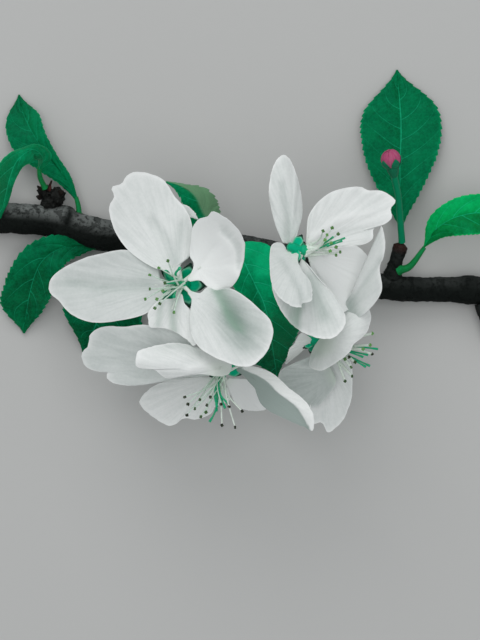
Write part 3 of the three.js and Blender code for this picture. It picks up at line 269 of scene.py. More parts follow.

# What a petal's words mean:
# at: where its blade starts; aim: which way it points, in degrees; neck: where its claw ends, if not there
# rim: its outline from the right of the claw round to the left, as distances ahead and to the left
# rise: how much higher the tip is; bow: height of its arch from claw to tip; cup: how far the sides curl up
# tilt: how far the left side is raised and the right one lowered; ruffle: height of even waves at the rim
# waves: height of its chance waves against the usual; folds: side (1 left, -1 right), place (0 to 1), slope
# shade: painted shade over the petal as a whole, and painted light below 0; ribs_from: where its ribs fan
# out from, if not from the heart
# marks: creases and stains, each as a path in the picture plane, its widths on the left and right, its
# height (a groove below 0), how far the petal turns greenish along it, partly stain and partly painted
# see-through green of what lies behind, and how much painted shade lies along it (painted highlight below
# 0)
# A petal has the plain values where it doesn't state its own.
PLAIN_PETAL = dict(bow=0, cup=0, tilt=0, ruffle=0, waves=1, folds=(), shade=0.12, marks=())
PETALS = {
    ("left", "top"): dict(
        at=(-13.2, 10.4, 34), aim=111, rise=1, bow=-1.5, cup=1, ruffle=0.5, shade=0.1,
        rim=[(-2, -0.1), (-0.5, -1.2), (0.3, -1.6), (1.1, -3.8), (1.9, -4.9), (3.1, -5.5), (5.1, -6.1),
             (6.5, -6.4), (8.3, -6.6), (9.5, -6.5), (11.3, -6.1), (12.8, -5.4), (16.5, -4.6), (18, -3.8),
             (20.7, 0.2), (20.6, 2.2), (19.5, 3.8), (19.6, 5.8), (17.6, 6.1), (16.1, 7.7), (11.4, 8.4),
             (6.7, 7.3), (2, 4.2), (0.7, 2.7), (0, 1.3), (-1.6, 0.9)],
        marks=[(((-17.5, 20), (-14.6, 15.6), (-13.2, 11.5)), (0.9, 0.9), -0.4, 0, 0.22),
               (((-11.8, 19), (-12.4, 14), (-12.6, 10.5)), (0.9, 0.9), -0.3, 0, 0.2)],
    ),
    ("left", "left"): dict(
        at=(-16.4, 7, 33.2), aim=-178, rise=-9, bow=1.5, cup=1, ruffle=0.5, shade=0.28,
        rim=[(-2.4, 0.1), (-1.5, -0.5), (-0.5, -1), (-0.2, -2.9), (1.4, -4.7), (5.8, -7.2), (11.4, -6.6),
             (15.8, -5.5), (20.9, -2.5), (21.9, -0.5), (21.6, 0.9), (19.9, 2.4), (18.6, 4.2), (16.6, 5.9),
             (13.8, 6.9), (10.8, 7.1), (4.8, 6.3), (2.4, 5.5), (1, 4.4), (-0.3, 2.9), (-2.6, 1.4)],
        marks=[(((-34, 7.4), (-26, 6.6), (-18, 7)), (1.4, 1.4), -0.4, 0.05, 0.2)],
    ),
    ("left", "upper_right"): dict(
        at=(-8.4, 10.2, 36.2), aim=50, rise=7, bow=-1.5, cup=1.2, shade=-0.22,
        rim=[(-3.1, -0.2), (-1.5, -1.8), (-1.5, -3.7), (-1.2, -5.4), (1.2, -7.3), (3.3, -7.4),
             (7.4, -5.8), (8.9, -4.7), (10.2, -3.5), (11.3, -0.5), (11.1, 4.2), (10.5, 5.3), (9.3, 5.3),
             (7.6, 6.3), (5.8, 6.2), (3.2, 4.6), (0.9, 2.9), (0.2, 1.3), (-1.6, 0.5), (-3, 0.3)],
        marks=[(((-3.6, 18), (-0.7, 14.6), (-0.2, 10.4)), (1.6, 0.7), -0.5, 0.05, 0.3),
               (((-5.4, 14.6), (-7.4, 11.4), (-9, 9.2)), (0.8, 0.8), -0.2, 0, 0.12)],
    ),
    ("left", "lower_right"): dict(
        at=(-8.4, 4.2, 36), aim=-39, rise=9, bow=-0.5, cup=0.8, tilt=1.2, shade=0.1,
        rim=[(-2.6, -0.3), (-1, -0.8), (-0.3, -1.8), (0.4, -3), (1.9, -4.9), (4.1, -6.7), (7, -7.4),
             (9.8, -7), (12.7, -6.1), (14.9, -5.3), (16.6, -3.9), (17.3, -0.9), (17.1, 1.8), (15.9, 4.2),
             (14, 5.7), (11.2, 6.2), (3.6, 5.7), (1.7, 3.6), (0, 3.1), (-0.4, 1.2), (-1.5, 0.6),
             (-2.7, 0.1)],
        marks=[(((-5, 6.2), (-3.6, 3.6), (-1.9, 0.1), (-0.6, -1.6)), (1.9, 0.9), -0.7, 0.62, 0.08),
               (((-4, 5), (-1, 0), (1.4, -1.8)), (4.2, 2.2), 0, 0.1, 0.3),
               (((-2.4, 0.6), (-1.4, -2.6), (0.8, -4.6)), (3.4, 2.6), -0.2, 0.06, 0.5)],
    ),
    ("left", "bottom"): dict(
        at=(-13.4, 2.8, 34.4), aim=-100, rise=-0.4, cup=0.3, tilt=0.6, shade=0,
        rim=[(-2.3, 0.2), (-1.5, -0.2), (-1.2, -1.4), (-0.6, -2.8), (0.3, -3.8), (2.4, -4.7), (3.6, -4.4),
             (4.9, -3.9), (4.7, -1.6), (5, 1.3), (6.2, 3.9), (7.1, 5.5), (5.4, 6), (2.7, 5.4), (0.2, 3.5),
             (-0.9, 2.2), (-2.7, 1.3)],
        marks=[(((-13, 4.6), (-13.4, 1), (-13.2, -2.4)), (0.9, 0.9), -0.3, 0.3, 0.25),
               (((-15.8, 3), (-16.4, -1)), (0.7, 0.7), -0.2, 0.2, 0.2)],
    ),
    ("left", "behind"): dict(
        at=(-11.2, 21.8, 31.6), neck=(-13.7, 20.6, 31), aim=0, rise=-0.6, waves=0.3,
        rim=[(-1.6, -0.6), (-0.8, -1.4), (0.7, -0.9), (1.2, -1.28), (1.9, -1.44), (2.76, -1.68),
             (2.7, -1.26), (2.54, -1), (2.3, -0.46), (1.86, 0.02), (1.3, 0.6), (0.72, 1.04), (-0.3, 1.36),
             (-1.2, 1.6), (-2, 0.6)],
    ),
    ("low", "left"): dict(
        at=(-5.2, -10.2, 27.5), aim=171, rise=-2, bow=2.5, cup=0.5, tilt=-3, waves=0.3, shade=0.35,
        rim=[(1.9, -0.7), (4.7, -4.3), (7, -6), (10.2, -6.9), (14.5, -7), (17.3, -6.5), (18.4, -6.1),
             (21.5, -5.6), (23.1, -5.3), (24.5, -4.6), (25.6, -3.4), (25.7, -1.1), (26.6, 0.9),
             (25.5, 3.1), (23.9, 3.65), (22, 3.75), (20.7, 3.62), (21.1, 4.3), (20.1, 5.3), (17.8, 5.65),
             (14.4, 5.2), (8.8, 3), (1.2, 1.2)],
    ),
    ("low", "front"): dict(
        at=(-3.8, -9.6, 33.5), aim=171, rise=5, bow=2, cup=-2.6, tilt=1.2, waves=0.5, shade=0.05,
        rim=[(-2.1, 0), (-1.7, -1.7), (-0.2, -2.9), (3.5, -3.1), (8.5, -3.6), (10.8, -3.3), (15.3, -1.6),
             (16.9, -0.6), (17.1, 1.4), (16.6, 2.4), (15.4, 2.56), (14.4, 2.48), (13.3, 2.32),
             (12.2, 2.95), (11.1, 3.5), (9.9, 3.75), (8, 3.1), (6.3, 2.5), (4.2, 1.95), (3.1, 1.8),
             (-0.1, 1.7), (-1.8, 0.9)],
        marks=[(((-14.4, -5.2), (-11, -5.4), (-8, -7)), (0.7, 0.7), -0.3, 0, 0.18),
               (((-10.2, -10), (-7, -9), (-5, -9.8)), (0.8, 0.8), 0.3, 0, -0.2)],
    ),
    ("low", "lower_left"): dict(
        at=(-4.8, -12.2, 27), aim=-159, rise=-10, bow=-1, cup=1, shade=0,
        rim=[(1.3, -1.3), (4.2, -2.4), (10.1, -3.6), (12.8, -3.3), (15.8, -1.6), (14.8, 1.4), (11.7, 5.1),
             (8.6, 4.7), (6.6, 5.7), (3.2, 5.7), (2, 4.7), (0.6, 4.8), (-1.2, 4.5), (-1.7, 2.2)],
    ),
    ("low", "lower_right"): dict(
        at=(-2.6, -12, 26), aim=-37, rise=-11, bow=-1, cup=0.8, shade=-0.2,
        rim=[(2.4, -1.9), (4.6, -2.8), (6.2, -2.7), (9.6, -0.2), (9.8, 1.8), (7.7, 2.7), (3.7, 2.7),
             (0, 0.3)],
    ),
    ("low", "right"): dict(
        at=(2.4, -11.6, 32), neck=(-0.6, -9.4, 31.4), aim=-35, rise=6, bow=1.2, cup=0.3, tilt=1.4,
        waves=0.25, folds=((1, 0.25, -3.4),), shade=1.1,
        rim=[(-3.4, -0.5), (-1.4, -0.6), (-0.3, -0.95), (2, -1.5), (4.2, -3.1), (7, -3.4), (10.1, -2.9),
             (13.5, -2.2), (16, -1.7), (15.4, -0.4), (13.7, 1.4), (11.4, 2.3), (7.4, 2.6), (3.2, 3.1),
             (1, 2.8), (-1.4, 1.9), (-4, 0.2)],
        marks=[(((0.6, -9.6), (5, -11.8), (7.8, -14.4), (11.4, -17.2), (13, -19.6), (14.6, -22.4)),
                (8, 0.2), 0.2, 0, -1.15)],
    ),
    ("right", "top"): dict(
        at=(10, 15.4, 37), aim=94, rise=1, bow=1, cup=-1.6, tilt=1.5, shade=0.2,
        rim=[(0.6, -1.4), (2.1, -1.7), (5.8, -2.9), (12.8, -2.4), (17, -0.9), (17.7, 0.2), (17.1, 1.2),
             (15.2, 2.4), (10.5, 3.5), (4.4, 2.8), (2.3, 2.2), (0.2, 1.4)],
        marks=[(((8.6, 27), (9.6, 21), (9.9, 17)), (0.7, 0.9), -0.4, 0, 0.2)],
    ),
    ("right", "upper_right"): dict(
        at=(13.4, 14.8, 38), aim=27, rise=-8, bow=-2, cup=1, shade=0.02,
        rim=[(2.3, -3.4), (6.3, -3.6), (10.5, -4.9), (12.4, -4.6), (13.4, -3), (15.8, -3.15),
             (17.7, -2.6), (18.3, -0.95), (19.9, -0.15), (19.2, 1.8), (18.2, 3.1), (15.9, 4.5), (15, 5.6),
             (12, 6.9), (9.2, 7.4), (5.1, 6.5), (2.5, 4.6), (1.8, 2.4), (0.8, 1.2)],
        marks=[(((14.4, 16), (19, 19.6), (26, 21.6)), (0.9, 0.9), 0.4, 0, -0.1),
               (((15.6, 15), (21, 17.4), (28, 18.4)), (0.9, 0.9), -0.35, 0, 0.14)],
    ),
    ("right", "front"): dict(
        at=(10, 12.4, 41.4), aim=-83, rise=7, bow=1, cup=-1, shade=0.28,
        rim=[(-2, -0.5), (-3, -1.1), (-3.4, -2.1), (-3, -3.3), (-1.3, -3.9), (2.3, -4.3), (4.1, -4.3),
             (6.2, -3.8), (7.9, -2.8), (9.7, -0.6), (10, 1), (9.3, 1.3), (9.1, 3.1), (7.3, 3.6),
             (5.1, 3.4), (3.2, 2.4), (1.8, 1.7), (0.5, 1.5), (-0.5, 1.8), (-0.9, 1.3), (-0.7, 0.7)],
        marks=[(((8.4, 12), (11.2, 7.4), (13, 3.2)), (0.7, 0.7), -0.4, 0, 0.16)],
    ),
    ("right", "right"): dict(
        at=(13.8, 13.2, 38), aim=-31, rise=-8, bow=-1, cup=1, folds=((-1, 0.55, 2.2),), shade=-0.55,
        rim=[(2.2, -2.6), (7.1, -5), (11.8, -6.4), (13, -3.9), (13.9, -1.7), (14.1, 1), (13, 3.6),
             (11.1, 5.3), (7.4, 6.3), (6.1, 5.7), (3.2, 1.2), (0.5, -0.1)],
        marks=[(((14.4, 11.2), (18, 7.4), (21, 4)), (1.2, 0.8), 0.5, 0, -0.15)],
    ),
    ("right", "bottom"): dict(
        at=(12, 12, 40), aim=-74, rise=4, bow=-1, cup=0.8, ruffle=0.4, shade=0.2,
        rim=[(0.2, -2.1), (1.1, -4.7), (3, -6.7), (7.4, -6.7), (11.4, -5.4), (13.7, -3.8), (15.4, -1.8),
             (16.6, 0.6), (16.7, 2.6), (15.8, 4.2), (14.6, 5.3), (12.7, 5.6), (10.3, 5.2), (7.7, 4.1),
             (4.2, 2.4), (1.3, 1.3)],
        marks=[(((12, 3), (11.4, 0.6), (11.2, -1.6)), (0.8, 2), -0.4, 0.45, 0.3),
               (((14.2, 8), (15, 4.6), (16.6, 1)), (1.8, 1.6), -0.2, 0.1, 0.3)],
    ),
    ("corner", "upper"): dict(
        at=(19.4, -1.2, 30), aim=59, rise=12, cup=-0.6, tilt=-1.6,
        rim=[(-0.7, -1.1), (6.1, -3.8), (9.6, -4.2), (11.2, -3.8), (14.6, -1.2), (16.5, -0.9),
             (19.1, 0.2), (21.8, 2.7), (20.1, 1.7), (14.8, 1.1), (4, 1.1), (0.3, 1.8)],
        marks=[(((21.4, 1.6), (24.6, 6.4), (27.8, 11.8)), (0.9, 0.9), -0.3, 0, 0.2),
               (((21.6, 3.8), (22.2, 2), (23, 0.4)), (1.7, 1.2), -0.2, 0.08, 0.4)],
    ),
    ("corner", "front"): dict(
        at=(17, -3.2, 29), aim=-18, rise=4, bow=3, cup=-3,
        rim=[(-0.8, -0.9), (-1.4, -2.8), (-1.5, -5.1), (-1, -6.8), (1.2, -6.9), (2.2, -6.2), (5.7, -1.5),
             (5.9, 0), (7.7, 3.3), (7.5, 6.6), (6.7, 7.8), (5.1, 8.2), (3.3, 7.4), (0.3, 3)],
        marks=[(((19.8, 0.8), (17, -2.4), (15.4, -6.4)), (1, 2.2), -0.3, 0.1, 0.35)],
    ),
    ("corner", "lower_left"): dict(
        at=(16.4, -6.4, 25), aim=-110, rise=-6, cup=0.8, shade=0.6, ribs_from=(20, -10.5),
        rim=[(1.3, -1.2), (4, -2.6), (5.9, -6.3), (7.9, -6.4), (9.6, -5.4), (11, -3.2), (11.5, -0.5),
             (10.9, 2.3), (8.9, 3.7), (4.5, 4.6), (2.2, 2.1)],
        marks=[(((9, -8.6), (12, -9.4), (18, -10)), (0.5, 0.5), 0.15, 0, -0.1)],
    ),
    ("corner", "lower_right"): dict(
        at=(18, -6.8, 24), aim=-88, rise=-7, bow=-1, cup=0.8,
        rim=[(4.7, -2.6), (8, -3.9), (11.4, -4.5), (13.8, -3.8), (13.7, -2.1), (15.6, -0.9), (13.9, 1.6),
             (10, 3.7), (5.4, 4.3), (1.4, 3.9), (0.5, 1.6)],
    ),
    ("corner", "left"): dict(
        at=(14.4, -4, 23), aim=-142, rise=-3, cup=-0.6, tilt=-2, shade=-0.3,
        rim=[(0.3, -1), (0.8, -2.4), (2.4, -2.05), (3.2, -1.6), (4.7, -1.4), (5.9, -0.4), (7.2, 0.5),
             (3.6, 0.5), (0.7, 0.3)],
    ),
}

# The bud and its stalk
BUD_CENTRE = (30.2, 32.2, 17)
BUD_RADIUS = 2.109
BUD_STALK = [(32.4, 15.6, 6.8), (32, 20.6, 10), (31.6, 25, 13.4), (30.7, 29.4, 16.4)]

# Colours as they show in even light, apart from the painted light and shade that is noted where it is used
PETAL_LIGHT = (0.86, 0.875, 0.86)
PETAL_SHADE = (0.33, 0.39, 0.365)
# Painted see-through green of leaves behind the thin petals, together with greenish stain
PETAL_STAIN_AND_SEE_THROUGH = (0.22, 0.37, 0.27)
PETAL_CLAW = (0.62, 0.72, 0.60)
HEART_GREEN = (0.004, 0.40, 0.20)
LEAF_BRIGHT = (0.002, 0.46, 0.18)
LEAF_MIDDLE = (0.001, 0.150, 0.047)
LEAF_DARK = (0.001, 0.046, 0.010)
LEAF_UNDER = (0.15, 0.30, 0.16)
LEAF_VEIN = (0.02, 0.66, 0.34)
LEAF_WARM = (1.0, 1.0, 0.5)
SEPAL_GREEN = (0.003, 0.45, 0.24)
# Painted shade on the sepals' tips; it also darkens the bud's calyx
SEPAL_TIP_SHADE_AND_DARK_GREEN = (0.016, 0.030, 0.022)
SEPAL_DOWN = (0.36, 0.74, 0.54)
STALK_GREEN = (0.004, 0.20, 0.085)
FILAMENT_WHITE = (0.80, 0.87, 0.80)
STYLE_GREEN = (0.004, 0.42, 0.20)
ANTHER_UNRIPE = (0.15, 0.38, 0.10)
ANTHER_RIPE = (0.018, 0.022, 0.014)
THREAD_DUST = (0.30, 0.38, 0.24)
# Grey of the bark's upper side: its own grey together with painted top light
BARK_LIT_GREY = (0.205, 0.222, 0.214)
BARK_DARK = (0.006, 0.008, 0.007)
BARK_RED = (0.075, 0.022, 0.018)
BUD_PINK = (0.42, 0.045, 0.15)
BUD_PALE = (0.50, 0.24, 0.30)
FLOOR_GREY = (0.50, 0.50, 0.49)
SKY = (0.93, 0.97, 1.0, 1.0)
GREEN_GLOSS = dict(Specular_IOR_Level=0.35, Specular_Tint=(0.03, 1.0, 0.62, 1.0))


# Places

def placed(points):
    """Drawn points, moved along the line of sight to their own heights."""
    points = np.asarray(points, float)
    scale = (EYE_HEIGHT - points[..., 2:]) / (EYE_HEIGHT - FOCUS_HEIGHT)
    return np.concatenate([points[..., :2] * scale, points[..., 2:]], axis=-1)


BUD_BOX = np.array(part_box("bud")) * 1000
SHIFT = placed(BUD_CENTRE) - BUD_BOX.mean(axis=0)


def framed(points):
    """Placed points, set in the frame."""
    return (np.asarray(points, float) - SHIFT) * 0.001


# Curves

def hermite(points):
    """A centripetal curve through the points."""
    points = np.asarray(points, float)
    points = np.concatenate([[2 * points[0] - points[1]], points, [2 * points[-1] - points[-2]]])
    s = (np.arange(CURVE_STEPS) / CURVE_STEPS)[:, None]
    found = []
    for before, start, end, after in zip(points, points[1:], points[2:], points[3:]):
        first, middle, last = [
            max(0.01, np.linalg.norm(gap)) ** 0.5 for gap in (start - before, end - start, after - end)
        ]
        leave = (end - start) + middle * ((start - before) / first - (end - before) / (first + middle))
        arrive = (end - start) + middle * ((after - end) / last - (after - start) / (middle + last))
        found.append(
            (2 * s**3 - 3 * s**2 + 1) * start
            + (s**3 - 2 * s**2 + s) * leave
            + (3 * s**2 - 2 * s**3) * end
            + (s**3 - s**2) * arrive
        )
    return np.concatenate(found + [points[-2:-1]])


def even_curve(points, count):
    """The same curve, as points with even gaps."""
    fine = hermite(points)
    reach = np.concatenate([[0], np.cumsum(np.linalg.norm(np.diff(fine, axis=0), axis=1))])
    wanted = np.linspace(0, reach[-1], count)
    return np.stack([np.interp(wanted, reach, fine[:, k]) for k in range(fine.shape[1])], axis=-1)


def station(values, t):
    """Values at even stations, read at t from 0 to 1 and eased between them."""
    values = np.asarray(values, float)
    last = len(values) - 1
    at = np.clip(t, 0, 1) * last
    i = np.minimum(at.astype(int), last - 1)
    f = at - i
    a, b, c, d = [values[np.clip(i + k, 0, last)] for k in (-1, 0, 1, 2)]
    return b + 0.5 * f * (c - a + f * (2 * a - 5 * b + 4 * c - d + f * (3 * (b - c) + d - a)))


def unit(vectors):
    vectors = np.asarray(vectors, float)
    return vectors / np.maximum(1e-9, np.linalg.norm(vectors, axis=-1, keepdims=True))


def ramped(x, start, end):
    """0 up to the start, 1 from the end on, and straight between them."""
    return np.clip((x - start) / (end - start), 0, 1)


def bell(x, half):
    """1 where x is 0, falling away smoothly on both sides."""
    return np.exp(-((x / half) ** 2))


RIPPLE_WAVES = 6
RIPPLE_SUM = 2.2  # about how high the waves add up


def ripple(x, seed):
    """A smooth wavering line, mostly between -1 and 1, the same on each run."""
    chance = np.random.default_rng(seed)
    total = np.zeros_like(np.asarray(x, float))
    for k in range(1, RIPPLE_WAVES + 1):
        total += chance.normal() * np.sin(k * math.pi * x + chance.uniform(0, 2 * math.pi)) / k**0.5
    return total / RIPPLE_SUM


def path_place(points, path):
    """How far each point is from a drawn path, above 0 on its left, and where along it, from 0 to 1."""
    path = even_curve(path, PATH_POINTS)
    best = np.full(points.shape[:-1], np.inf)
    side = np.ones_like(best)
    along = np.zeros_like(best)
    for index, (a, b) in enumerate(zip(path, path[1:])):
        step = b - a
        gap = points - a
        share = np.clip((gap @ step) / (step @ step), 0, 1)
        distance = np.linalg.norm(gap - share[..., None] * step, axis=-1)
        nearer = distance < best
        best = np.where(nearer, distance, best)
        side = np.where(nearer, np.sign(step[0] * gap[..., 1] - step[1] * gap[..., 0]), side)
        along = np.where(nearer, (index + share) / (len(path) - 1), along)
    return best * side, along


# Meshes

class Sheaf:
    """Points, faces and the values each point carries (0 where none is given), gathered into one piece."""

    def __init__(self):
        self.points = []
        self.faces = []
        self.values = []
        self.count = 0

    def add(self, points, faces, values):
        points = points.reshape(-1, 3)
        self.points.append(points)
        self.faces.extend((np.asarray(faces) + self.count).tolist())
        self.values.append({name: value.reshape(-1) for name, value in values.items()})
        self.count += len(points)

    def piece(self, name, material, slot, *nodes):
        mesh = bpy.data.meshes.new(name)
        mesh.from_pydata(framed(np.concatenate(self.points)).tolist(), [], self.faces)
        mesh.shade_smooth()
        for key in sorted({key for values in self.values for key in values}):
            parts = zip(self.values, self.points)
            column = np.concatenate([values.get(key, np.zeros(len(points))) for values, points in parts])
            mesh.attributes.new(key, "FLOAT", "POINT").data.foreach_set("value", column.astype(np.float32))
        mesh.materials.append(material)
        made = bpy.data.objects.new(name, mesh)
        bpy.context.scene.collection.objects.link(made)
        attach(made, "root")
        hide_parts(*nodes)


def spread_over(values, shape):
    """The same values, each as one number for every point of a grid."""
    return {key: np.broadcast_to(np.asarray(value, float), shape) for key, value in values.items()}


def grid_faces(rows, columns, closed=False):
    """Faces between the points of a grid, joined round its rows where it is closed."""
    i = np.arange(rows - 1)[:, None] * columns
    j = np.arange(columns if closed else columns - 1)[None, :]
    k = (j + 1) % columns
    corners = np.stack([i + j, i + columns + j, i + columns + k, i + k], axis=-1)
    return corners.reshape(-1, 4)


def blade_places(size):
    """Places on a blade of so many rows and columns: t from foot to tip, and s from -1 to 1 across."""
    rows, columns = size
    return np.linspace(0, 1, rows)[:, None], np.linspace(-1, 1, columns)[None, :]


def add_sheet(sheaf, grid, thickness, values):
    """Both faces of a thin blade and the narrow edge round it."""
    rows, columns = grid.shape[:2]
    normals = unit(np.cross(np.gradient(grid, axis=0), np.gradient(grid, axis=1)))
    half = normals * np.broadcast_to(thickness, (rows, columns))[..., None] / 2
    faces = grid_faces(rows, columns)
    values = spread_over(values, (rows, columns))
    sheaf.add(grid + half, faces[:, ::-1], values)
    sheaf.add(grid - half, faces, values)
    border = [(0, j) for j in range(columns)]
    border += [(i, columns - 1) for i in range(1, rows)]
    border += [(rows - 1, j) for j in range(columns - 2, -1, -1)]
    border += [(i, 0) for i in range(rows - 2, 0, -1)]
    i, j = np.array(border + border[:1]).T
    edge = np.stack([(grid + half)[i, j], (grid - half)[i, j]])
    sheaf.add(edge, grid_faces(2, len(i)), {key: np.tile(value[i, j], 2) for key, value in values.items()})


def rings(path, radii, sides):
    """Rings of points round a path, with the unit vectors that point outwards."""
    ahead = unit(np.gradient(path, axis=0))
    side = np.cross([0.0, 0.0, 1.0], ahead[0])
    if np.linalg.norm(side) < 0.2:
        side = np.array([1.0, 0.0, 0.0])
    angle = np.arange(sides) / sides * 2 * math.pi
    out = []
    for forward in ahead:
        side = unit(side - forward * (side @ forward))
        other = np.cross(forward, side)
        out.append(np.cos(angle)[:, None] * side + np.sin(angle)[:, None] * other)
    out = np.array(out)
    return path[:, None, :] + out * np.reshape(radii, (-1, 1, 1)), out


def add_tube(sheaf, grid, values):
    """A closed tube from its rings, with a flat cap on each end."""
    rows, sides = grid.shape[:2]
    values = spread_over(values, (rows, sides))
    sheaf.add(grid, grid_faces(rows, sides, closed=True), values)
    for row, order in ((0, 1), (rows - 1, -1)):
        centre = grid[row].mean(axis=0)
        fan = np.array([[j, (j + 1) % sides, sides][::order] for j in range(sides)])
        cap = {key: np.append(value[row], value[row].mean()) for key, value in values.items()}
        sheaf.add(np.vstack([grid[row], centre]), fan, cap)


def add_rod(sheaf, path, radii, sides, values):
    """A round rod along a path, with a radius for each of its points."""
    grid, _ = rings(path, radii, sides)
    add_tube(sheaf, grid, values)


def on_ball(centre, axes, radii, polar, angle):
    """Points on an ellipsoid, by their angle from its first axis and their angle round that axis."""
    parts = (np.cos(polar), np.sin(polar) * np.cos(angle), np.sin(polar) * np.sin(angle))
    return centre + sum((part * radius)[..., None] * axis for part, radius, axis in zip(parts, radii, axes))


def add_ball(sheaf, centre, axes, radii, size, values):
    """An ellipsoid with a radius along each of three unit vectors, and so many rows and sides."""
    rows, sides = size
    polar = np.linspace(0.02, math.pi - 0.02, rows)[:, None]
    angle = np.arange(sides)[None, :] / sides * 2 * math.pi
    add_tube(sheaf, on_ball(centre, axes, radii, polar, angle), values)


def triad(forward):
    """Three unit vectors at right angles, the first along forward."""
    forward = unit(forward)
    helper = np.array([0.0, 0.0, 1.0]) if abs(forward[2]) < 0.9 else np.array([1.0, 0.0, 0.0])
    side = unit(np.cross(helper, forward))
    return forward, side, np.cross(forward, side)


# Shader nodes

def put(tree, socket, value):
    """Joins a socket to another one, or sets it to a plain value."""
    if isinstance(value, bpy.types.NodeSocket):
        tree.links.new(value, socket)
    else:
        socket.default_value = value


def node(tree, kind, inputs=None, **settings):
    made = tree.nodes.new("ShaderNode" + kind)
    for key, value in settings.items():
        setattr(made, key, value)
    for key, value in (inputs or {}).items():
        put(tree, made.inputs[key], value)
    return made


def value_of(tree, name):
    """A value that the points of the piece carry."""
    return node(tree, "Attribute", attribute_type="GEOMETRY", attribute_name=name).outputs["Fac"]


def own_place(tree):
    return node(tree, "TexCoord").outputs["Object"]


def maths(tree, operation, first, second=0.0):
    return node(tree, "Math", {0: first, 1: second}, operation=operation).outputs[0]


def times(tree, first, second):
    return maths(tree, "MULTIPLY", first, second)


def plus(tree, total, *others):
    for other in others:
        total = maths(tree, "ADD", total, other)
    return total


def minus(tree, first, second):
    return maths(tree, "SUBTRACT", first, second)


def ramp(tree, value, span, result=(0.0, 1.0)):
    """Eases from the first result to the second while the value crosses its span."""
    inputs = dict(zip(("Value", "From Min", "From Max", "To Min", "To Max"), (value, *span, *result)))
    return node(tree, "MapRange", inputs, interpolation_type="SMOOTHSTEP").outputs["Result"]


def mixed(tree, share, first, second, blend="MIX"):
    """The first colour, turned into the second by a share from 0 to 1."""
    made = node(tree, "Mix", {0: share}, data_type="RGBA", blend_type=blend)
    for index, colour in ((6, first), (7, second)):
        put(tree, made.inputs[index], (*colour, 1.0) if isinstance(colour, tuple) else colour)
    return made.outputs[2]


# Patterns: groups of nodes, each built once and placed in every material that shows it

RIB_BREAKS = 1.6  # how often ribs fade and start anew along a petal


def new_group(name, given, results):
    """An empty group, with the sockets that bring values into it and take its results out."""
    tree = bpy.data.node_groups.new(name, "ShaderNodeTree")
    for way, sockets in (("INPUT", given), ("OUTPUT", results)):
        for socket in sockets:
            tree.interface.new_socket(socket, in_out=way, socket_type="NodeSocketFloat")
    return tree, tree.nodes.new("NodeGroupInput").outputs, tree.nodes.new("NodeGroupOutput").inputs


def mottle_group():
    """Soft cloudy patches, from place."""
    tree, given, result = new_group("mottle", ("Scale", "Detail"), ("Cloud",))
    inputs = {"Scale": given["Scale"], "Detail": given["Detail"], "Roughness": 0.55}
    inputs["Vector"] = own_place(tree)
    put(tree, result["Cloud"], node(tree, "TexNoise", inputs).outputs["Fac"])
    return tree


def ribs_group():
    """Fine ribs that run from the foot of a petal or sepal to its rim, spreading as it widens."""
    tree, given, result = new_group("petal ribs", ("Along", "Across", "Seed", "Count"), ("Rib",))
    wide = times(tree, given["Across"], given["Count"])
    long = times(tree, given["Along"], RIB_BREAKS)
    inputs = {"Scale": 1.0, "Detail": 3.0, "Roughness": 0.6, "Distortion": 0.4}
    inputs["Vector"] = node(tree, "CombineXYZ", {"X": wide, "Y": long, "Z": given["Seed"]}).outputs[0]
    put(tree, result["Rib"], node(tree, "TexNoise", inputs).outputs["Fac"])
    return tree


def veins_group():
    """The midrib and side veins of a leaf, and its fine net, from its own places along and across."""
    tree, given, result = new_group("leaf veins", ("Along", "Across", "Count"), ("Vein", "Net"))
    away = maths(tree, "ABSOLUTE", given["Across"])
    midrib = ramp(tree, away, (0.008, 0.03), (1.0, 0.0))
    staggered = times(tree, maths(tree, "GREATER_THAN", given["Across"], 0.0), VEIN_STAGGER)
    sweep = times(tree, maths(tree, "POWER", away, VEIN_BEND), VEIN_SWEEP)
    phase = minus(tree, plus(tree, times(tree, given["Along"], given["Count"]), staggered), sweep)
    off = maths(tree, "ABSOLUTE", minus(tree, maths(tree, "FRACT", phase), 0.5))
    side = ramp(tree, off, (0.0, 0.04), (1.0, 0.0))
    faded = times(tree, side, ramp(tree, away, (0.35, 0.98), (1.0, 0.12)))
    inputs = {"Vector": own_place(tree), "Scale": 1500.0}
    cells = node(tree, "TexVoronoi", inputs, feature="DISTANCE_TO_EDGE").outputs["Distance"]
    put(tree, result["Vein"], maths(tree, "MAXIMUM", midrib, faded))
    put(tree, result["Net"], ramp(tree, cells, (0.0, 0.12), (1.0, 0.0)))
    return tree


MOTTLE = mottle_group()
RIBS = ribs_group()
VEINS = veins_group()


def mottle(tree, scale, detail):
    return node(tree, "Group", {"Scale": scale, "Detail": detail}, node_tree=MOTTLE).outputs["Cloud"]


def ribs(tree, along, across, seed, count):
    inputs = {"Along": along, "Across": across, "Seed": seed, "Count": count}
    return node(tree, "Group", inputs, node_tree=RIBS).outputs["Rib"]


def leaf_veins(tree, along, across, count):
    inputs = {"Along": along, "Across": across, "Count": count}
    placed_veins = node(tree, "Group", inputs, node_tree=VEINS).outputs
    return placed_veins["Vein"], placed_veins["Net"]


# Materials

def new_material(name):
    made = bpy.data.materials.new(name)
    made.use_nodes = True
    return made, made.node_tree


def finished(made, colour, roughness, height=None, strength=1.0, depth=0.0, **finish):
    """The material, with its colour, roughness and relief joined to its shader; the depth is in metres."""
    tree = made.node_tree
    shader = tree.nodes["Principled BSDF"]
    put(tree, shader.inputs["Base Color"], colour)
    put(tree, shader.inputs["Roughness"], roughness)
    if height is not None:
        bump = node(tree, "Bump", {"Height": height, "Strength": strength, "Distance": depth})
        put(tree, shader.inputs["Normal"], bump.outputs[0])
    for key, value in finish.items():
        shader.inputs[key.replace("_", " ")].default_value = value
    return made


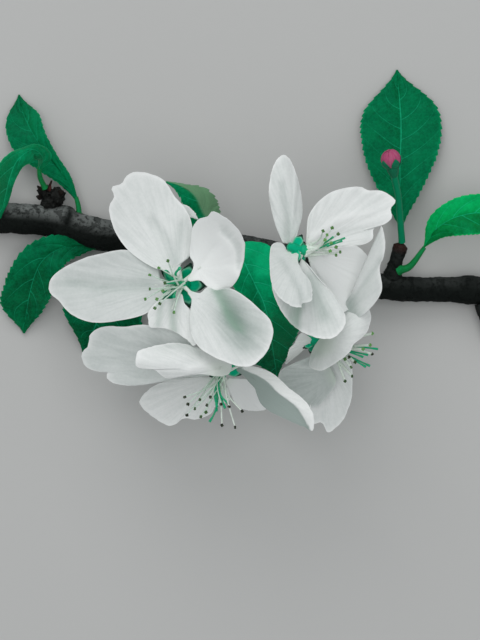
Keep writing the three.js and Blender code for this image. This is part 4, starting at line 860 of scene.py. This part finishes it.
def petal_material():
    made, tree = new_material("white petal")
    reach = value_of(tree, "reach")
    along = times(tree, reach, 0.07)
    rib = ribs(tree, along, value_of(tree, "bearing"), value_of(tree, "seed"), 17.0)
    grain = mottle(tree, 1600.0, 2.0)
    open_blade = ramp(tree, reach, (2.0, 7.0))
    ribbed = times(tree, ramp(tree, rib, (0.34, 0.62), (0.11, 0.0)), open_blade)
    clouded = ramp(tree, mottle(tree, 160.0, 3.0), (0.35, 0.65), (0.06, 0.0))
    grained = ramp(tree, grain, (0.35, 0.65), (0.05, 0.0))
    # Painted shade and highlight of each petal, added to its own ribs, clouds and grain
    grey_and_painted_shade = plus(tree, ribbed, clouded, grained, value_of(tree, "shade"))
    base = mixed(tree, grey_and_painted_shade, PETAL_LIGHT, PETAL_SHADE)
    # Green tint, partly stain and partly painted see-through green of what lies behind the petal
    tinted = mixed(tree, value_of(tree, "tint"), base, PETAL_STAIN_AND_SEE_THROUGH)
    clawed = mixed(tree, ramp(tree, reach, (1.2, 4.0), (0.4, 0.0)), tinted, PETAL_CLAW)
    colour = mixed(tree, value_of(tree, "heart"), clawed, HEART_GREEN)
    height = plus(tree, times(tree, rib, open_blade), times(tree, grain, 0.3))
    return finished(
        made, colour, roughness=0.6, height=height, strength=0.17, depth=0.0003, Specular_IOR_Level=0.15,
        Subsurface_Weight=0.12, Subsurface_Scale=0.0006, Subsurface_Radius=(1, 1, 1),
    )


def leaf_material(name, count):
    made, tree = new_material(name)
    vein, net = leaf_veins(tree, value_of(tree, "along"), value_of(tree, "across"), count)
    wrinkle = mottle(tree, 1300.0, 4.0)
    clouded = ramp(tree, mottle(tree, 260.0, 4.0), (0.3, 0.7), (-0.07, 0.07))
    wrinkled = ramp(tree, wrinkle, (0.3, 0.7), (-0.08, 0.05))
    tone = plus(tree, value_of(tree, "tone"), clouded, wrinkled)
    low = mixed(tree, ramp(tree, tone, (0.0, 0.45)), LEAF_DARK, LEAF_MIDDLE)
    green = mixed(tree, ramp(tree, tone, (0.4, 1.0)), low, LEAF_BRIGHT)
    warmed = mixed(tree, value_of(tree, "warm"), green, LEAF_WARM, blend="MULTIPLY")
    netted = mixed(tree, times(tree, net, 0.05), warmed, LEAF_VEIN)
    pale = times(tree, vein, ramp(tree, tone, (0.0, 1.0), (0.2, 0.8)))
    veined = mixed(tree, pale, netted, LEAF_VEIN)
    colour = mixed(tree, value_of(tree, "under"), veined, LEAF_UNDER)
    height = minus(tree, times(tree, wrinkle, 0.7), plus(tree, vein, times(tree, net, 0.15)))
    return finished(made, colour, roughness=0.42, height=height, strength=0.5, depth=0.00025, **GREEN_GLOSS)


def green_material():
    made, tree = new_material("green stalk and calyx")
    cloud = mottle(tree, 700.0, 3.0)
    rib = ribs(tree, value_of(tree, "along"), value_of(tree, "across"), 3.0, 6.0)
    green = mixed(tree, value_of(tree, "bright"), STALK_GREEN, SEPAL_GREEN)
    shaded = mixed(tree, ramp(tree, cloud, (0.35, 0.7), (0.0, 0.35)), green, STALK_GREEN)
    # Painted shade on the sepals' tips; on the bud's calyx the same dark green only darkens it
    tipped = mixed(tree, value_of(tree, "dark"), shaded, SEPAL_TIP_SHADE_AND_DARK_GREEN)
    colour = mixed(tree, value_of(tree, "pale"), tipped, SEPAL_DOWN)
    return finished(made, colour, roughness=0.5, height=rib, strength=0.4, depth=0.0002, **GREEN_GLOSS)


def thread_material():
    made, tree = new_material("stamens and styles")
    cloud = mottle(tree, 1800.0, 2.0)
    base = mixed(tree, value_of(tree, "style"), FILAMENT_WHITE, STYLE_GREEN)
    anther = mixed(tree, value_of(tree, "ripe"), ANTHER_UNRIPE, ANTHER_RIPE)
    coloured = mixed(tree, value_of(tree, "anther"), base, anther)
    colour = mixed(tree, ramp(tree, cloud, (0.4, 0.75), (0.0, 0.3)), coloured, THREAD_DUST)
    return finished(
        made, colour, roughness=0.5, height=cloud, strength=0.4, depth=0.0001, Specular_IOR_Level=0.12,
    )


def bark_material():
    made, tree = new_material("bark")
    patch = mottle(tree, 230.0, 8.0)
    fine = mottle(tree, 1500.0, 6.0)
    flake = mottle(tree, 560.0, 9.0)
    stretched = node(tree, "Mapping", {"Vector": own_place(tree), "Scale": (1.0, 2.6, 2.6)}).outputs[0]
    spots = node(tree, "TexVoronoi", {"Vector": stretched, "Scale": 620.0}).outputs["Distance"]
    lenticel = ramp(tree, spots, (0.10, 0.26), (1.0, 0.0))
    sparse = times(tree, lenticel, ramp(tree, patch, (0.4, 0.6)))
    # The bark's own grey patches, scaled by the painted top light that makes the upper side of the branch
    # greyer
    grey_and_painted_shade = times(tree, ramp(tree, patch, (0.3, 0.66), (0.55, 1.0)), value_of(tree, "weathered"))
    base = mixed(tree, grey_and_painted_shade, BARK_DARK, BARK_LIT_GREY)
    flecked = mixed(tree, ramp(tree, fine, (0.5, 0.68), (0.0, 0.7)), base, BARK_DARK)
    flaked = mixed(tree, ramp(tree, flake, (0.53, 0.60), (0.0, 0.6)), flecked, BARK_DARK)
    dotted = mixed(tree, times(tree, sparse, 0.6), flaked, BARK_DARK)
    reddened = mixed(tree, value_of(tree, "red"), dotted, BARK_RED)
    colour = mixed(tree, value_of(tree, "scar"), reddened, BARK_DARK)
    pits = plus(tree, times(tree, sparse, 0.8), ramp(tree, flake, (0.53, 0.60), (0.0, 0.7)))
    rough = ramp(tree, patch, (0.3, 0.7), (0.8, 0.6))
    height = minus(tree, fine, pits)
    return finished(made, colour, rough, height=height, strength=0.8, depth=0.0005, Specular_IOR_Level=0.08)


def bud_material():
    made, tree = new_material("pink bud")
    along = value_of(tree, "along")
    rib = ribs(tree, along, value_of(tree, "across"), value_of(tree, "seed"), 9.0)
    pale = mixed(tree, ramp(tree, along, (0.1, 0.6), (1.0, 0.0)), BUD_PINK, BUD_PALE)
    colour = mixed(tree, ramp(tree, rib, (0.35, 0.7), (0.0, 0.45)), pale, BUD_PALE)
    return finished(
        made, colour, roughness=0.5, height=rib, strength=0.5, depth=0.0003, Specular_IOR_Level=0.15,
    )


def floor_material():
    made, tree = new_material("pale floor")
    lighter = tuple(1.03 * c for c in FLOOR_GREY)
    colour = mixed(tree, mottle(tree, 8.0, 2.0), FLOOR_GREY, lighter)
    return finished(made, colour, roughness=0.9, Specular_IOR_Level=0.1)


PETAL = petal_material()
GREEN = green_material()
THREADS = thread_material()
BARK = bark_material()


# Petals

ROW_EASE = 0.9  # below 1, rows lie closer together towards the rim
RIM_WAVER = 0.1  # how far a rim strays from its drawn outline, in mm
BROAD_WAVE = 0.14  # heights of a petal's chance waves, in mm
FINE_WAVE = 0.12
# Painted highlight: the very rim of a petal is painted lighter by the next share
RIM_PAINTED_HIGHLIGHT = 0.3  # how much lighter the very rim is
RIM_THINNING = 0.6  # how much thinner it is, against the blade
CLAW_OVERLAP = 0.15  # how far a claw runs on under the blade, against its length


def petal_surface(petal, seed):
    """Drawn points of a petal, with the share r of the way from its claw to its rim."""
    aim = math.radians(petal["aim"])
    forward = np.array([math.cos(aim), math.sin(aim)])
    leftward = np.array([-forward[1], forward[0]])
    outline = petal["rim"]
    claw = CLAW_RADIUS
    if outline[0][0] < 0 and outline[-1][0] < 0:
        middle = np.mean([outline[0], outline[-1]], axis=0)
        outline = [middle, *outline, middle]
        claw = 0
    rim = even_curve(outline, PETAL_GRID[1])
    length = rim[:, 0].max()
    half = np.abs(rim[:, 1]).max()
    r, q = blade_places(PETAL_GRID)
    r = r**ROW_EASE
    outward = unit(np.gradient(rim, axis=0))[:, ::-1] * [1, -1]
    outward *= np.sign(np.sum(outward * (rim - [length / 2, 0]), axis=1).mean())
    waver = RIM_WAVER * ripple(q[0] * 7, seed) * np.clip(rim[:, 0] / length, 0, 1)
    rim = rim + outward * waver[:, None]
    x = rim[None, :, 0] * r
    y = rim[None, :, 1] * r + claw * q * (1 - r)
    t = x / length
    w = y / half
    z = petal["at"][2] + petal["rise"] * t + petal["bow"] * 4 * t * (1 - t)
    z = z + petal["cup"] * w**2 * np.clip(3 * t, 0, 1) + petal["tilt"] * w
    z = z + petal["ruffle"] * r**3 * np.sin(3 * math.pi * q)
    for side, start, slope in petal["folds"]:
        z = z + slope * np.maximum(0, side * w - start)
    waves = BROAD_WAVE * r**2 * ripple(q * 3, seed + 1)
    waves = waves + FINE_WAVE * r**2 * (1 - r) * ripple(q * 7, seed + 2)
    z = z + waves * petal["waves"]
    flat = x[..., None] * forward + y[..., None] * leftward + petal["at"][:2]
    return np.concatenate([flat, z[..., None]], axis=-1), r


def marked(drawn, marks):
    """Creases pressed into a petal, with the green tint that goes with them, partly stain and partly
    painted see-through green, and their painted shade, lighter where it is below 0.
    """
    tint = np.zeros(drawn.shape[:2])
    shade = np.zeros(drawn.shape[:2])
    for path, (left, right), depth, greenish, grey_and_painted_shade in marks:
        off, _ = path_place(drawn[..., :2], path)
        near = bell(off, np.where(off > 0, left, right))
        drawn[..., 2] += depth * near
        tint = np.maximum(tint, greenish * near)
        shade = shade + grey_and_painted_shade * near
    return tint, shade


def add_petal(sheaf, petal, heart, seed):
    """The blade of a petal, with ribs that fan out from the heart or from a place of their own."""
    drawn, r = petal_surface(petal, seed)
    tint, shade = marked(drawn, petal["marks"])
    # Painted shade over the whole petal and along its marks (lighter below 0), with a painted highlight on
    # the very rim
    shade = shade + petal["shade"] - RIM_PAINTED_HIGHLIGHT * ramped(r, 0.95, 1)
    away = drawn[..., :2] - petal.get("ribs_from", heart[:2])
    ahead = math.atan2(*away.mean(axis=(0, 1))[::-1])
    bearing = np.arctan2(away[..., 1], away[..., 0]) - ahead
    bearing = np.mod(bearing + math.pi, 2 * math.pi) - math.pi
    reach = np.hypot(away[..., 0], away[..., 1])
    values = dict(reach=reach, bearing=bearing, seed=seed, tint=tint, shade=shade)
    add_sheet(sheaf, placed(drawn), PETAL_THICKNESS * (1 - RIM_THINNING * ramped(r, 0.92, 1)), values)


def add_claw(sheaf, petal, heart, seed):
    """The narrow foot of a petal, from the heart to a little way under its blade."""
    start = placed(heart)
    end = placed(petal.get("neck", petal["at"])) - [0, 0, CLAW_RADIUS / 2]
    path = np.linspace(start, end + (end - start) * CLAW_OVERLAP, CLAW_STATIONS)
    radii = np.linspace(CLAW_RADIUS, CLAW_RADIUS / 3, CLAW_STATIONS)
    add_rod(sheaf, path, radii, CLAW_SIDES, dict(reach=1.2, seed=seed))


def heart_axes(bloom):
    """The place of a bloom's heart, and three unit vectors, the first of which points out of the bloom."""
    heart = placed(bloom["heart"])
    return heart, triad(heart - placed(bloom["urn"]))


def make_petals(name, bloom, order):
    sheaf = Sheaf()
    own = [petal for (bloom_name, _), petal in PETALS.items() if bloom_name == name]
    for index, petal in enumerate(own):
        seed = 100 * order + 10 * index
        add_petal(sheaf, PLAIN_PETAL | petal, bloom["heart"], seed)
        add_claw(sheaf, petal, bloom["heart"], seed)
    heart, axes = heart_axes(bloom)
    add_ball(sheaf, heart, axes, HEART_RADII, HEART_GRID, dict(heart=1))
    sheaf.piece("petals_" + name, PETAL, "petal", "bloom_" + name)


# Stamens and styles

# Rings in which they stand round the heart, in mm, and the angle from each to the next
FILAMENT_RING = 0.95
FILAMENT_TURN = 2.4
STYLE_RING = 0.35
STYLE_TURN = 1.26
THREAD_FOOT = 0.7  # how far out of the bloom from its heart they start
STYLE_PROFILE = np.append(np.linspace(1.15, 0.85, THREAD_STATIONS - 2), [1.15, 1.3])
LOBE_GAP = 0.14  # how far the two lobes of an anther lie from its middle
LOBE_FLATNESS = 0.75
ANTHER_LEAN = 0.5  # how far an anther, set across its filament, leans forward
CLEAR_STOUTNESS = 1.5  # radius of the filaments of clear anthers against the others
BOSS_RADII = (0.75, 1.15, 1.15)


def thread(bloom, tip, length, lean, ring, turn, bends=()):
    """The curve of a stamen or style, which leaves the heart and ends over the drawn point."""
    height = bloom["heart"][2]
    flat = math.dist(tip, bloom["heart"][:2])
    rise = math.sqrt(max(0.5, length**2 - flat**2))
    end = placed([*tip, height + rise])
    heart, (forward, side, other) = heart_axes(bloom)
    start = heart + forward * THREAD_FOOT + ring * (math.cos(turn) * side + math.sin(turn) * other)
    middle = [(start + end) / 2 + forward * lean]
    if bends:
        shares = np.linspace(0, 1, len(bends) + 2)[1:-1]
        middle = [placed([x, y, height + rise * share**0.7]) for (x, y), share in zip(bends, shares)]
    return even_curve([start, *middle, end], THREAD_STATIONS)


def add_anther(sheaf, path, ripe, chance):
    """Two lobes side by side, on the end of a filament."""
    forward, side, other = triad(path[-1] - path[-2])
    spin = chance.uniform(0, 2 * math.pi)
    axes = triad(math.cos(spin) * side + math.sin(spin) * other + ANTHER_LEAN * forward)
    centre = path[-1] + forward * 0.05
    for lobe in (-1, 1):
        radii = [radius * chance.uniform(0.85, 1.1) for radius in ANTHER_RADII]
        radii[1] *= LOBE_FLATNESS
        middle = centre + axes[1] * lobe * LOBE_GAP
        add_ball(sheaf, middle, axes, radii, ANTHER_GRID, dict(anther=1, ripe=ripe))


def make_threads(name, bloom, order):
    chance = np.random.default_rng(40 + order)
    sheaf = Sheaf()
    foot, end = bloom["filament_radii"]
    radii = end + (foot - end) * np.linspace(1, 0, THREAD_STATIONS) ** 1.5
    for index, tip in enumerate(bloom["anthers"]):
        lean = chance.uniform(0.4, 1.0)
        path = thread(bloom, tip, bloom["filament_length"], lean, FILAMENT_RING, index * FILAMENT_TURN)
        stoutness, green = 1, bloom["filament_green"]
        if index in bloom["clear"]:
            stoutness, green = CLEAR_STOUTNESS, 0
        add_rod(sheaf, path, radii * stoutness, FILAMENT_SIDES, dict(style=green))
        ripe = np.clip(bloom["ripeness"] + chance.uniform(-0.3, 0.3), 0, 1)
        add_anther(sheaf, path, 0 if index in bloom["unripe"] else ripe, chance)
    for index, (tip, bends) in enumerate(zip(bloom["styles"], bloom["bends"])):
        lean = chance.uniform(0.3, 0.7)
        path = thread(bloom, tip, bloom["style_length"], lean, STYLE_RING, index * STYLE_TURN, bends)
        add_rod(sheaf, path, STYLE_PROFILE * bloom["style_radius"], STYLE_SIDES, dict(style=1))
    heart, axes = heart_axes(bloom)
    add_ball(sheaf, heart + axes[0] * 0.5, axes, BOSS_RADII, BOSS_GRID, dict(style=1))
    sheaf.piece("threads_" + name, THREADS, "stamen", "stamens_" + name)


# Stalks, calyx cups and sepals

SEPAL_PROFILE = (0.75, 1.0, 1.12, 1.08, 0.72, 0.06)
STALK_PROFILE = (1.0, 0.95, 1.0, 1.1)
URN_PROFILE = (0.45, 0.8, 1.0, 0.98, 0.86, 0.8)
BUD_URN_PROFILE = (0.35, 0.8, 1.1, 1.0)
# Heights of the crown of a sepal, of its curled edges and of its waver, in mm
SEPAL_CROWN = 0.22
SEPAL_CURL = 0.84
SEPAL_WAVER = 0.05


def add_sepal(sheaf, bloom, tip, seed):
    """A pointed sepal with its tip painted dark as shade, and pale down on its edges."""
    start = placed(bloom["urn"])
    along = placed(tip) - start
    side = unit([-along[1], along[0], 0])
    up = unit(np.cross(along, side))
    up = up if up[2] > 0 else -up
    t, s = blade_places(SEPAL_GRID)
    reach = station(SEPAL_PROFILE, t) * bloom["sepal_half_width"] * s
    lift = SEPAL_CROWN * np.sin(math.pi * t) + SEPAL_CURL * s**2 * t * (1 - t)
    lift = lift + SEPAL_WAVER * ripple(t * 3 + s, seed)
    grid = start + t[..., None] * along + reach[..., None] * side + lift[..., None] * up
    lobe = t + 0.16 * s**2
    # Painted shade: the tip, which lies in shade between the petals, is painted dark
    dark = ramped(lobe, 0.78, 0.84)
    pale = 0.5 * np.clip(bell(lobe - 0.79, 0.05) + ramped(np.abs(s), 0.8, 1) * (t < 0.7), 0, 1)
    values = dict(along=t, across=s, bright=1, dark=dark, pale=pale)
    add_sheet(sheaf, grid, SEPAL_THICKNESS, values)


def add_urn(sheaf, foot, top, profile, size, values):
    """The swollen top of a stalk."""
    rows, sides = size
    radii = station(profile, np.linspace(0, 1, rows))
    add_rod(sheaf, np.linspace(foot, top, rows), radii, sides, values)


def make_calyx(name, bloom, order):
    sheaf = Sheaf()
    t = np.linspace(0, 1, STALK_STATIONS)
    radii = station(STALK_PROFILE, t) * STALK_RADIUS * (1 + 0.03 * ripple(t * 6, order))
    bright = np.clip(t * 1.6 - 0.9, 0, 0.8)
    path = even_curve(placed(bloom["stalk"]), STALK_STATIONS)
    add_rod(sheaf, path, radii, STALK_SIDES, dict(along=t[:, None], bright=bright[:, None]))
    heart, (forward, _, _) = heart_axes(bloom)
    foot = placed(bloom["urn"]) - forward * 1.4
    profile = np.multiply(URN_PROFILE, bloom["urn_radius"])
    add_urn(sheaf, foot, heart - forward * 0.3, profile, URN_GRID, dict(along=0.5, bright=0.8))
    for index, tip in enumerate(bloom["sepals"]):
        add_sepal(sheaf, bloom, tip, 7 * order + index)
    sheaf.piece("calyx_" + name, GREEN, "stalk", "stalk_" + name)


# Leaves

TOOTH_LENGTH = 1.25
TOOTH_DEPTH = 0.42
LEAST_HALF_WIDTH = 0.12
DRAWN_HALF_WIDTH = 6.0  # how far side veins reach from a midrib that is drawn
QUILT_HEIGHT = 0.2  # how far the blade swells between its side veins
EDGE_HEIGHT = 0.28  # how far its margin waves
MIDRIB_DEPTH = 0.2
MIDRIB_WIDTH = 0.07  # against the half width
PETIOLE_FOOT = (1.35, 1.25, 1.12, 1.04)  # how its foot spreads on the wood


def toothed_reach(leaf, spine, t, s):
    """How far each point of a blade lies from its spine, with the teeth of its margin."""
    left, right = [np.maximum(LEAST_HALF_WIDTH, station(leaf[half], t)) for half in ("left", "right")]
    length = np.linalg.norm(np.diff(spine, axis=0), axis=1).sum()
    tooth = 1 - np.mod(t * round(length / TOOTH_LENGTH) + 0.3 * np.sign(s), 1)
    reach = np.where(s > 0, left, right) * np.abs(s) * np.sqrt(np.clip(t / leaf["blunt"], 0.02, 1))
    outermost = ramped(np.abs(s), 0.75, 1) * np.clip(reach / 2.5, 0, 1)
    return reach + TOOTH_DEPTH * leaf["teeth"] * (tooth - 0.6) * outermost


def leaf_surface(leaf, t, s, seed):
    """Drawn points of a leaf, with their places along its midrib and across from it."""
    spine = even_curve(leaf["spine"], len(t))
    ahead = np.gradient(spine, axis=0)
    side = unit(np.stack([-ahead[:, 1], ahead[:, 0]], axis=-1))
    reach = toothed_reach(leaf, spine, t, s)
    flat = spine[:, None, :2] + side[:, None, :] * (np.sign(s) * reach)[..., None]
    along, across = t, s
    if "midrib" in leaf:
        off, along = path_place(flat, leaf["midrib"])
        across = np.clip(off / DRAWN_HALF_WIDTH, -1.4, 1.4)
    away = np.abs(across)
    lift = np.where(s > 0, *leaf["lift"]) * reach
    phase = along * leaf["veins"] + VEIN_STAGGER * (across > 0) - VEIN_SWEEP * away**VEIN_BEND
    swell = np.abs(np.sin(math.pi * (phase - 0.5))) * np.clip(1 - away**3, 0, 1) * np.minimum(1, reach)
    edge = s**2 * ripple(t * 4 + np.sign(s), seed) * np.clip(reach / 3, 0, 1)
    z = spine[:, 2:3] + lift + QUILT_HEIGHT * swell + EDGE_HEIGHT * edge
    z = z - MIDRIB_DEPTH * bell(across, MIDRIB_WIDTH)
    return np.concatenate([flat, z[..., None]], axis=-1), along, across


def make_leaf(name, leaf, order):
    sheaf = Sheaf()
    t, s = blade_places(LEAF_GRID)
    drawn, along, across = leaf_surface(leaf, t, s, 60 + order)
    left, right = [station(tone, t) for tone in leaf["tone"]]
    share = np.clip(s * 6 + 0.5, 0, 1)
    # The tone of each half is partly painted light and shade, and the margins get a painted highlight
    tone = left * share + right * (1 - share) + 0.3 * ramped(np.abs(s), 0.92, 1)
    under = leaf["under"][0] * share + leaf["under"][1] * (1 - share)
    thickness = LEAF_THICKNESS * (1 + 1.2 * bell(s, MIDRIB_WIDTH) * (1 - t)) * (1 - 0.5 * s**6)
    values = dict(along=along, across=across, tone=tone, under=under, warm=leaf["warm"])
    add_sheet(sheaf, placed(drawn), thickness, values)
    radii = np.linspace(leaf["petiole"], 0.75, PETIOLE_STATIONS) * PETIOLE_RADIUS
    radii[:4] *= PETIOLE_FOOT
    path = even_curve(placed(leaf["stalk"]), PETIOLE_STATIONS)
    add_rod(sheaf, path, radii, PETIOLE_SIDES, dict(across=0.5, tone=0.5, under=0.05, warm=0.8))
    sheaf.piece(name + "_blade", leaf_material(name.replace("_", " "), leaf["veins"]), "leaf", name)


# Wood

# Reliefs of the bark: depth, scale and seed
BRANCH_RELIEFS = ((0.22, 0.35, 5), (0.07, 1.6, 9))
SPUR_RELIEF = (0.2, 0.8, 3)
LUMP_RELIEF = (0.6, 1.1)
FIRST_LUMP_SEED = 11
RELIEF_STEPS = (0.6, 2.1, 5)  # how fast finer steps fade, how much finer each is, and how many there are
SPUR_RINGS = 7


def roughened(grid, out, depth, scale, seed):
    """Rings pushed in and out by a cloudy relief of the given depth."""
    start = Vector((seed, seed, seed))
    relief = np.array([
        noise.fractal(Vector(point) * scale + start, *RELIEF_STEPS) for point in grid.reshape(-1, 3)
    ])
    return grid + out * (depth * relief).reshape(grid.shape[:2])[..., None]


def make_branch():
    path = even_curve(placed(BRANCH_AXIS), BRANCH_STATIONS)
    t = np.linspace(0, 1, BRANCH_STATIONS)[:, None]
    radii = station(BRANCH_RADII, t)
    for at, height, half in BRANCH_RINGS:
        radii = radii + height * bell(t - at, half)
    grid, out = rings(path, radii, BRANCH_SIDES)
    for relief in BRANCH_RELIEFS:
        grid = roughened(grid, out, *relief)
    # Painted light: the bark is painted greyer on its upper side, which faces the light, and dark
    # underneath
    weathered = np.clip(out[..., 1] * 1.25 + out[..., 2] * 0.1 + 0.05, 0, 1) * station(BRANCH_GREY_AND_TOP_LIGHT, t)
    scar = np.zeros_like(weathered)
    for at, half, lean, middle, strength in BRANCH_SCARS:
        ring = bell(t - at - lean * out[..., 1], half)
        scar = np.maximum(scar, strength * ring * np.clip(1.4 - np.abs(out[..., 1] - middle), 0, 1))
    sheaf = Sheaf()
    add_tube(sheaf, grid, dict(weathered=weathered, scar=scar))
    sheaf.piece("bark_main", BARK, "bark", "main_branch")


def make_spur(name, spur):
    """A short ringed side shoot that closes in at its end."""
    path = even_curve(placed(spur["axis"]), SPUR_STATIONS)
    t = np.linspace(0, 1, SPUR_STATIONS)[:, None]
    radii = station(spur["radii"], t) * (1 + 0.05 * np.abs(np.sin(t * math.pi * SPUR_RINGS)))
    radii = radii * np.clip((1 - t) / 0.1, 0.05, 1) ** 0.5
    grid, out = rings(path, radii, SPUR_SIDES)
    sheaf = Sheaf()
    values = dict(weathered=0.06, red=spur["red"] * ramped(t, 0.7, 0.9))
    add_tube(sheaf, roughened(grid, out, *SPUR_RELIEF), values)
    sheaf.piece("bark_" + name, BARK, "bark", name)


def add_scale(sheaf, foot, tip, width, red):
    """A pointed bud scale that stands on a spur."""
    foot, tip = placed(foot), placed(tip)
    _, side, other = triad(tip - foot)
    t, s = blade_places(SCALE_GRID)
    reach = width * np.sin(math.pi * np.clip(0.25 + 0.75 * t, 0, 1)) * s
    lift = 0.25 * np.linalg.norm(tip - foot) * np.sin(math.pi * t) * (1 - s**2 * 0.6)
    grid = foot + t[..., None] * (tip - foot) + reach[..., None] * side + lift[..., None] * other
    add_sheet(sheaf, grid, SCALE_THICKNESS, dict(red=red))


def make_left_spur():
    sheaf = Sheaf()
    for index, (centre, radius) in enumerate(LEFT_SPUR_LUMPS):
        middle = placed(centre)
        polar = np.linspace(0.03, math.pi - 0.03, LUMP_STATIONS)
        path = middle - np.cos(polar)[:, None] * [0, 0, radius]
        grid, _ = rings(path, np.sin(polar) * radius, LUMP_SIDES)
        grid = roughened(grid, unit(grid - middle), *LUMP_RELIEF, FIRST_LUMP_SEED + index)
        add_tube(sheaf, grid, dict(weathered=0.08, red=0.03))
    for foot, tip, width, red in LEFT_SPUR_SCALES:
        add_scale(sheaf, foot, tip, width, red)
    sheaf.piece("bark_left_spur", BARK, "bark", "left_spur")


# The bud

BUD_PETALS = 5
BUD_SEPALS = 5


def make_bud():
    """Petals still rolled round one another in a ball."""
    sheaf = Sheaf()
    centre = placed(BUD_CENTRE)
    axes = triad(centre - placed(BUD_STALK)[-2])
    t, s = blade_places(BUD_PETAL_GRID)
    polar = math.pi * (1 - 0.985 * t)
    shell = BUD_RADIUS * (0.93 + 0.05 * s + 0.025 * np.cos(math.pi * t))
    spread = s * 0.95 * np.sin(math.pi * np.clip(0.12 + 0.8 * t, 0, 1)) ** 0.6 + 0.5 * t
    for index in range(BUD_PETALS):
        turn = index / BUD_PETALS * 2 * math.pi
        grid = on_ball(centre, axes, (shell * 1.02, shell, shell), polar, turn + spread)
        add_sheet(sheaf, grid, BUD_PETAL_THICKNESS, dict(along=t, across=s, seed=index))
    add_ball(sheaf, centre, axes, (BUD_RADIUS * 0.86,) * 3, BUD_CORE_GRID, dict(along=0.6, seed=9))
    sheaf.piece("bud_petals", bud_material(), "bud", "bud")


def make_bud_stalk():
    sheaf = Sheaf()
    path = even_curve(placed(BUD_STALK), BUD_STALK_STATIONS)
    radii = STALK_RADIUS * (1 - 0.1 * np.sin(math.pi * np.linspace(0, 1, BUD_STALK_STATIONS)))
    add_rod(sheaf, path, radii, BUD_STALK_SIDES, dict(bright=0.12))
    centre = placed(BUD_CENTRE)
    axes = triad(centre - path[-6])
    profile = np.multiply(BUD_URN_PROFILE, BUD_URN_RADIUS)
    foot, top = path[-1] - axes[0] * 1.5, centre - axes[0] * 1.26
    add_urn(sheaf, foot, top, profile, BUD_URN_GRID, dict(bright=0.2, dark=0.5))
    t, s = blade_places(BUD_SEPAL_GRID)
    polar = math.pi * (0.86 - 0.42 * t)
    spread = 0.5 * np.sin(math.pi * np.clip(0.2 + 0.8 * t, 0, 1)) * s
    for index in range(BUD_SEPALS):
        turn = (index + 0.5) / BUD_SEPALS * 2 * math.pi
        grid = on_ball(centre, axes, (BUD_RADIUS * 1.07,) * 3, polar, turn + spread)
        add_sheet(sheaf, grid, BUD_SEPAL_THICKNESS, dict(along=t, across=s, bright=0.2, dark=0.35))
    sheaf.piece("bud_stalk_and_calyx", GREEN, "stalk", "stalk_bud")


# Assembly

for order, (name, bloom) in enumerate(BLOOMS.items()):
    make_petals(name, bloom, order)
    make_threads(name, PLAIN_BLOOM | bloom, order)
    make_calyx(name, bloom, order)
for order, (name, leaf) in enumerate(LEAVES.items()):
    make_leaf(name, PLAIN_LEAF | leaf, order)
make_branch()
make_left_spur()
for name, spur in SPURS.items():
    make_spur(name, spur)
make_bud()
make_bud_stalk()


# Floor, camera and light, in metres

FLOOR_HALF = 1.6
SENSOR_HEIGHT = 24.0  # in mm, as the lens is
SKY_STRENGTH = 0.42


def make_floor():
    corners = [(x * FLOOR_HALF, y * FLOOR_HALF, 0) for x, y in ((-1, -1), (1, -1), (1, 1), (-1, 1))]
    mesh = bpy.data.meshes.new("floor")
    mesh.from_pydata(corners, [], [(0, 1, 2, 3)])
    mesh.materials.append(floor_material())
    floor = bpy.data.objects.new("floor", mesh)
    bpy.context.scene.collection.objects.link(floor)


def make_camera():
    data = bpy.data.cameras.new("camera")
    data.sensor_fit = "VERTICAL"
    data.sensor_height = SENSOR_HEIGHT
    data.lens = SENSOR_HEIGHT * (EYE_HEIGHT - FOCUS_HEIGHT) / VIEW_HEIGHT
    data.clip_start = 0.01
    camera = bpy.data.objects.new("camera", data)
    camera.location = framed([0, 0, EYE_HEIGHT])
    bpy.context.scene.collection.objects.link(camera)
    bpy.context.scene.camera = camera


def make_light(name, place, size, power):
    """A round lamp that points at the middle of the floor."""
    data = bpy.data.lights.new(name, "AREA")
    data.shape = "DISK"
    data.size = size
    data.energy = power
    light = bpy.data.objects.new(name, data)
    light.location = place
    light.rotation_euler = (-Vector(place)).to_track_quat("-Z", "Y").to_euler()
    bpy.context.scene.collection.objects.link(light)


def make_world():
    world = bpy.data.worlds.new("studio")
    world.use_nodes = True
    background = world.node_tree.nodes["Background"]
    background.inputs["Color"].default_value = SKY
    background.inputs["Strength"].default_value = SKY_STRENGTH
    bpy.context.scene.world = world


make_floor()
make_camera()
make_light("key", place=(-0.18, 0.66, 0.60), size=0.6, power=2.3)
make_light("front", place=(0.02, 0.0, 0.9), size=0.9, power=3.0)
make_world()
bpy.context.scene.view_settings.view_transform = "Standard"
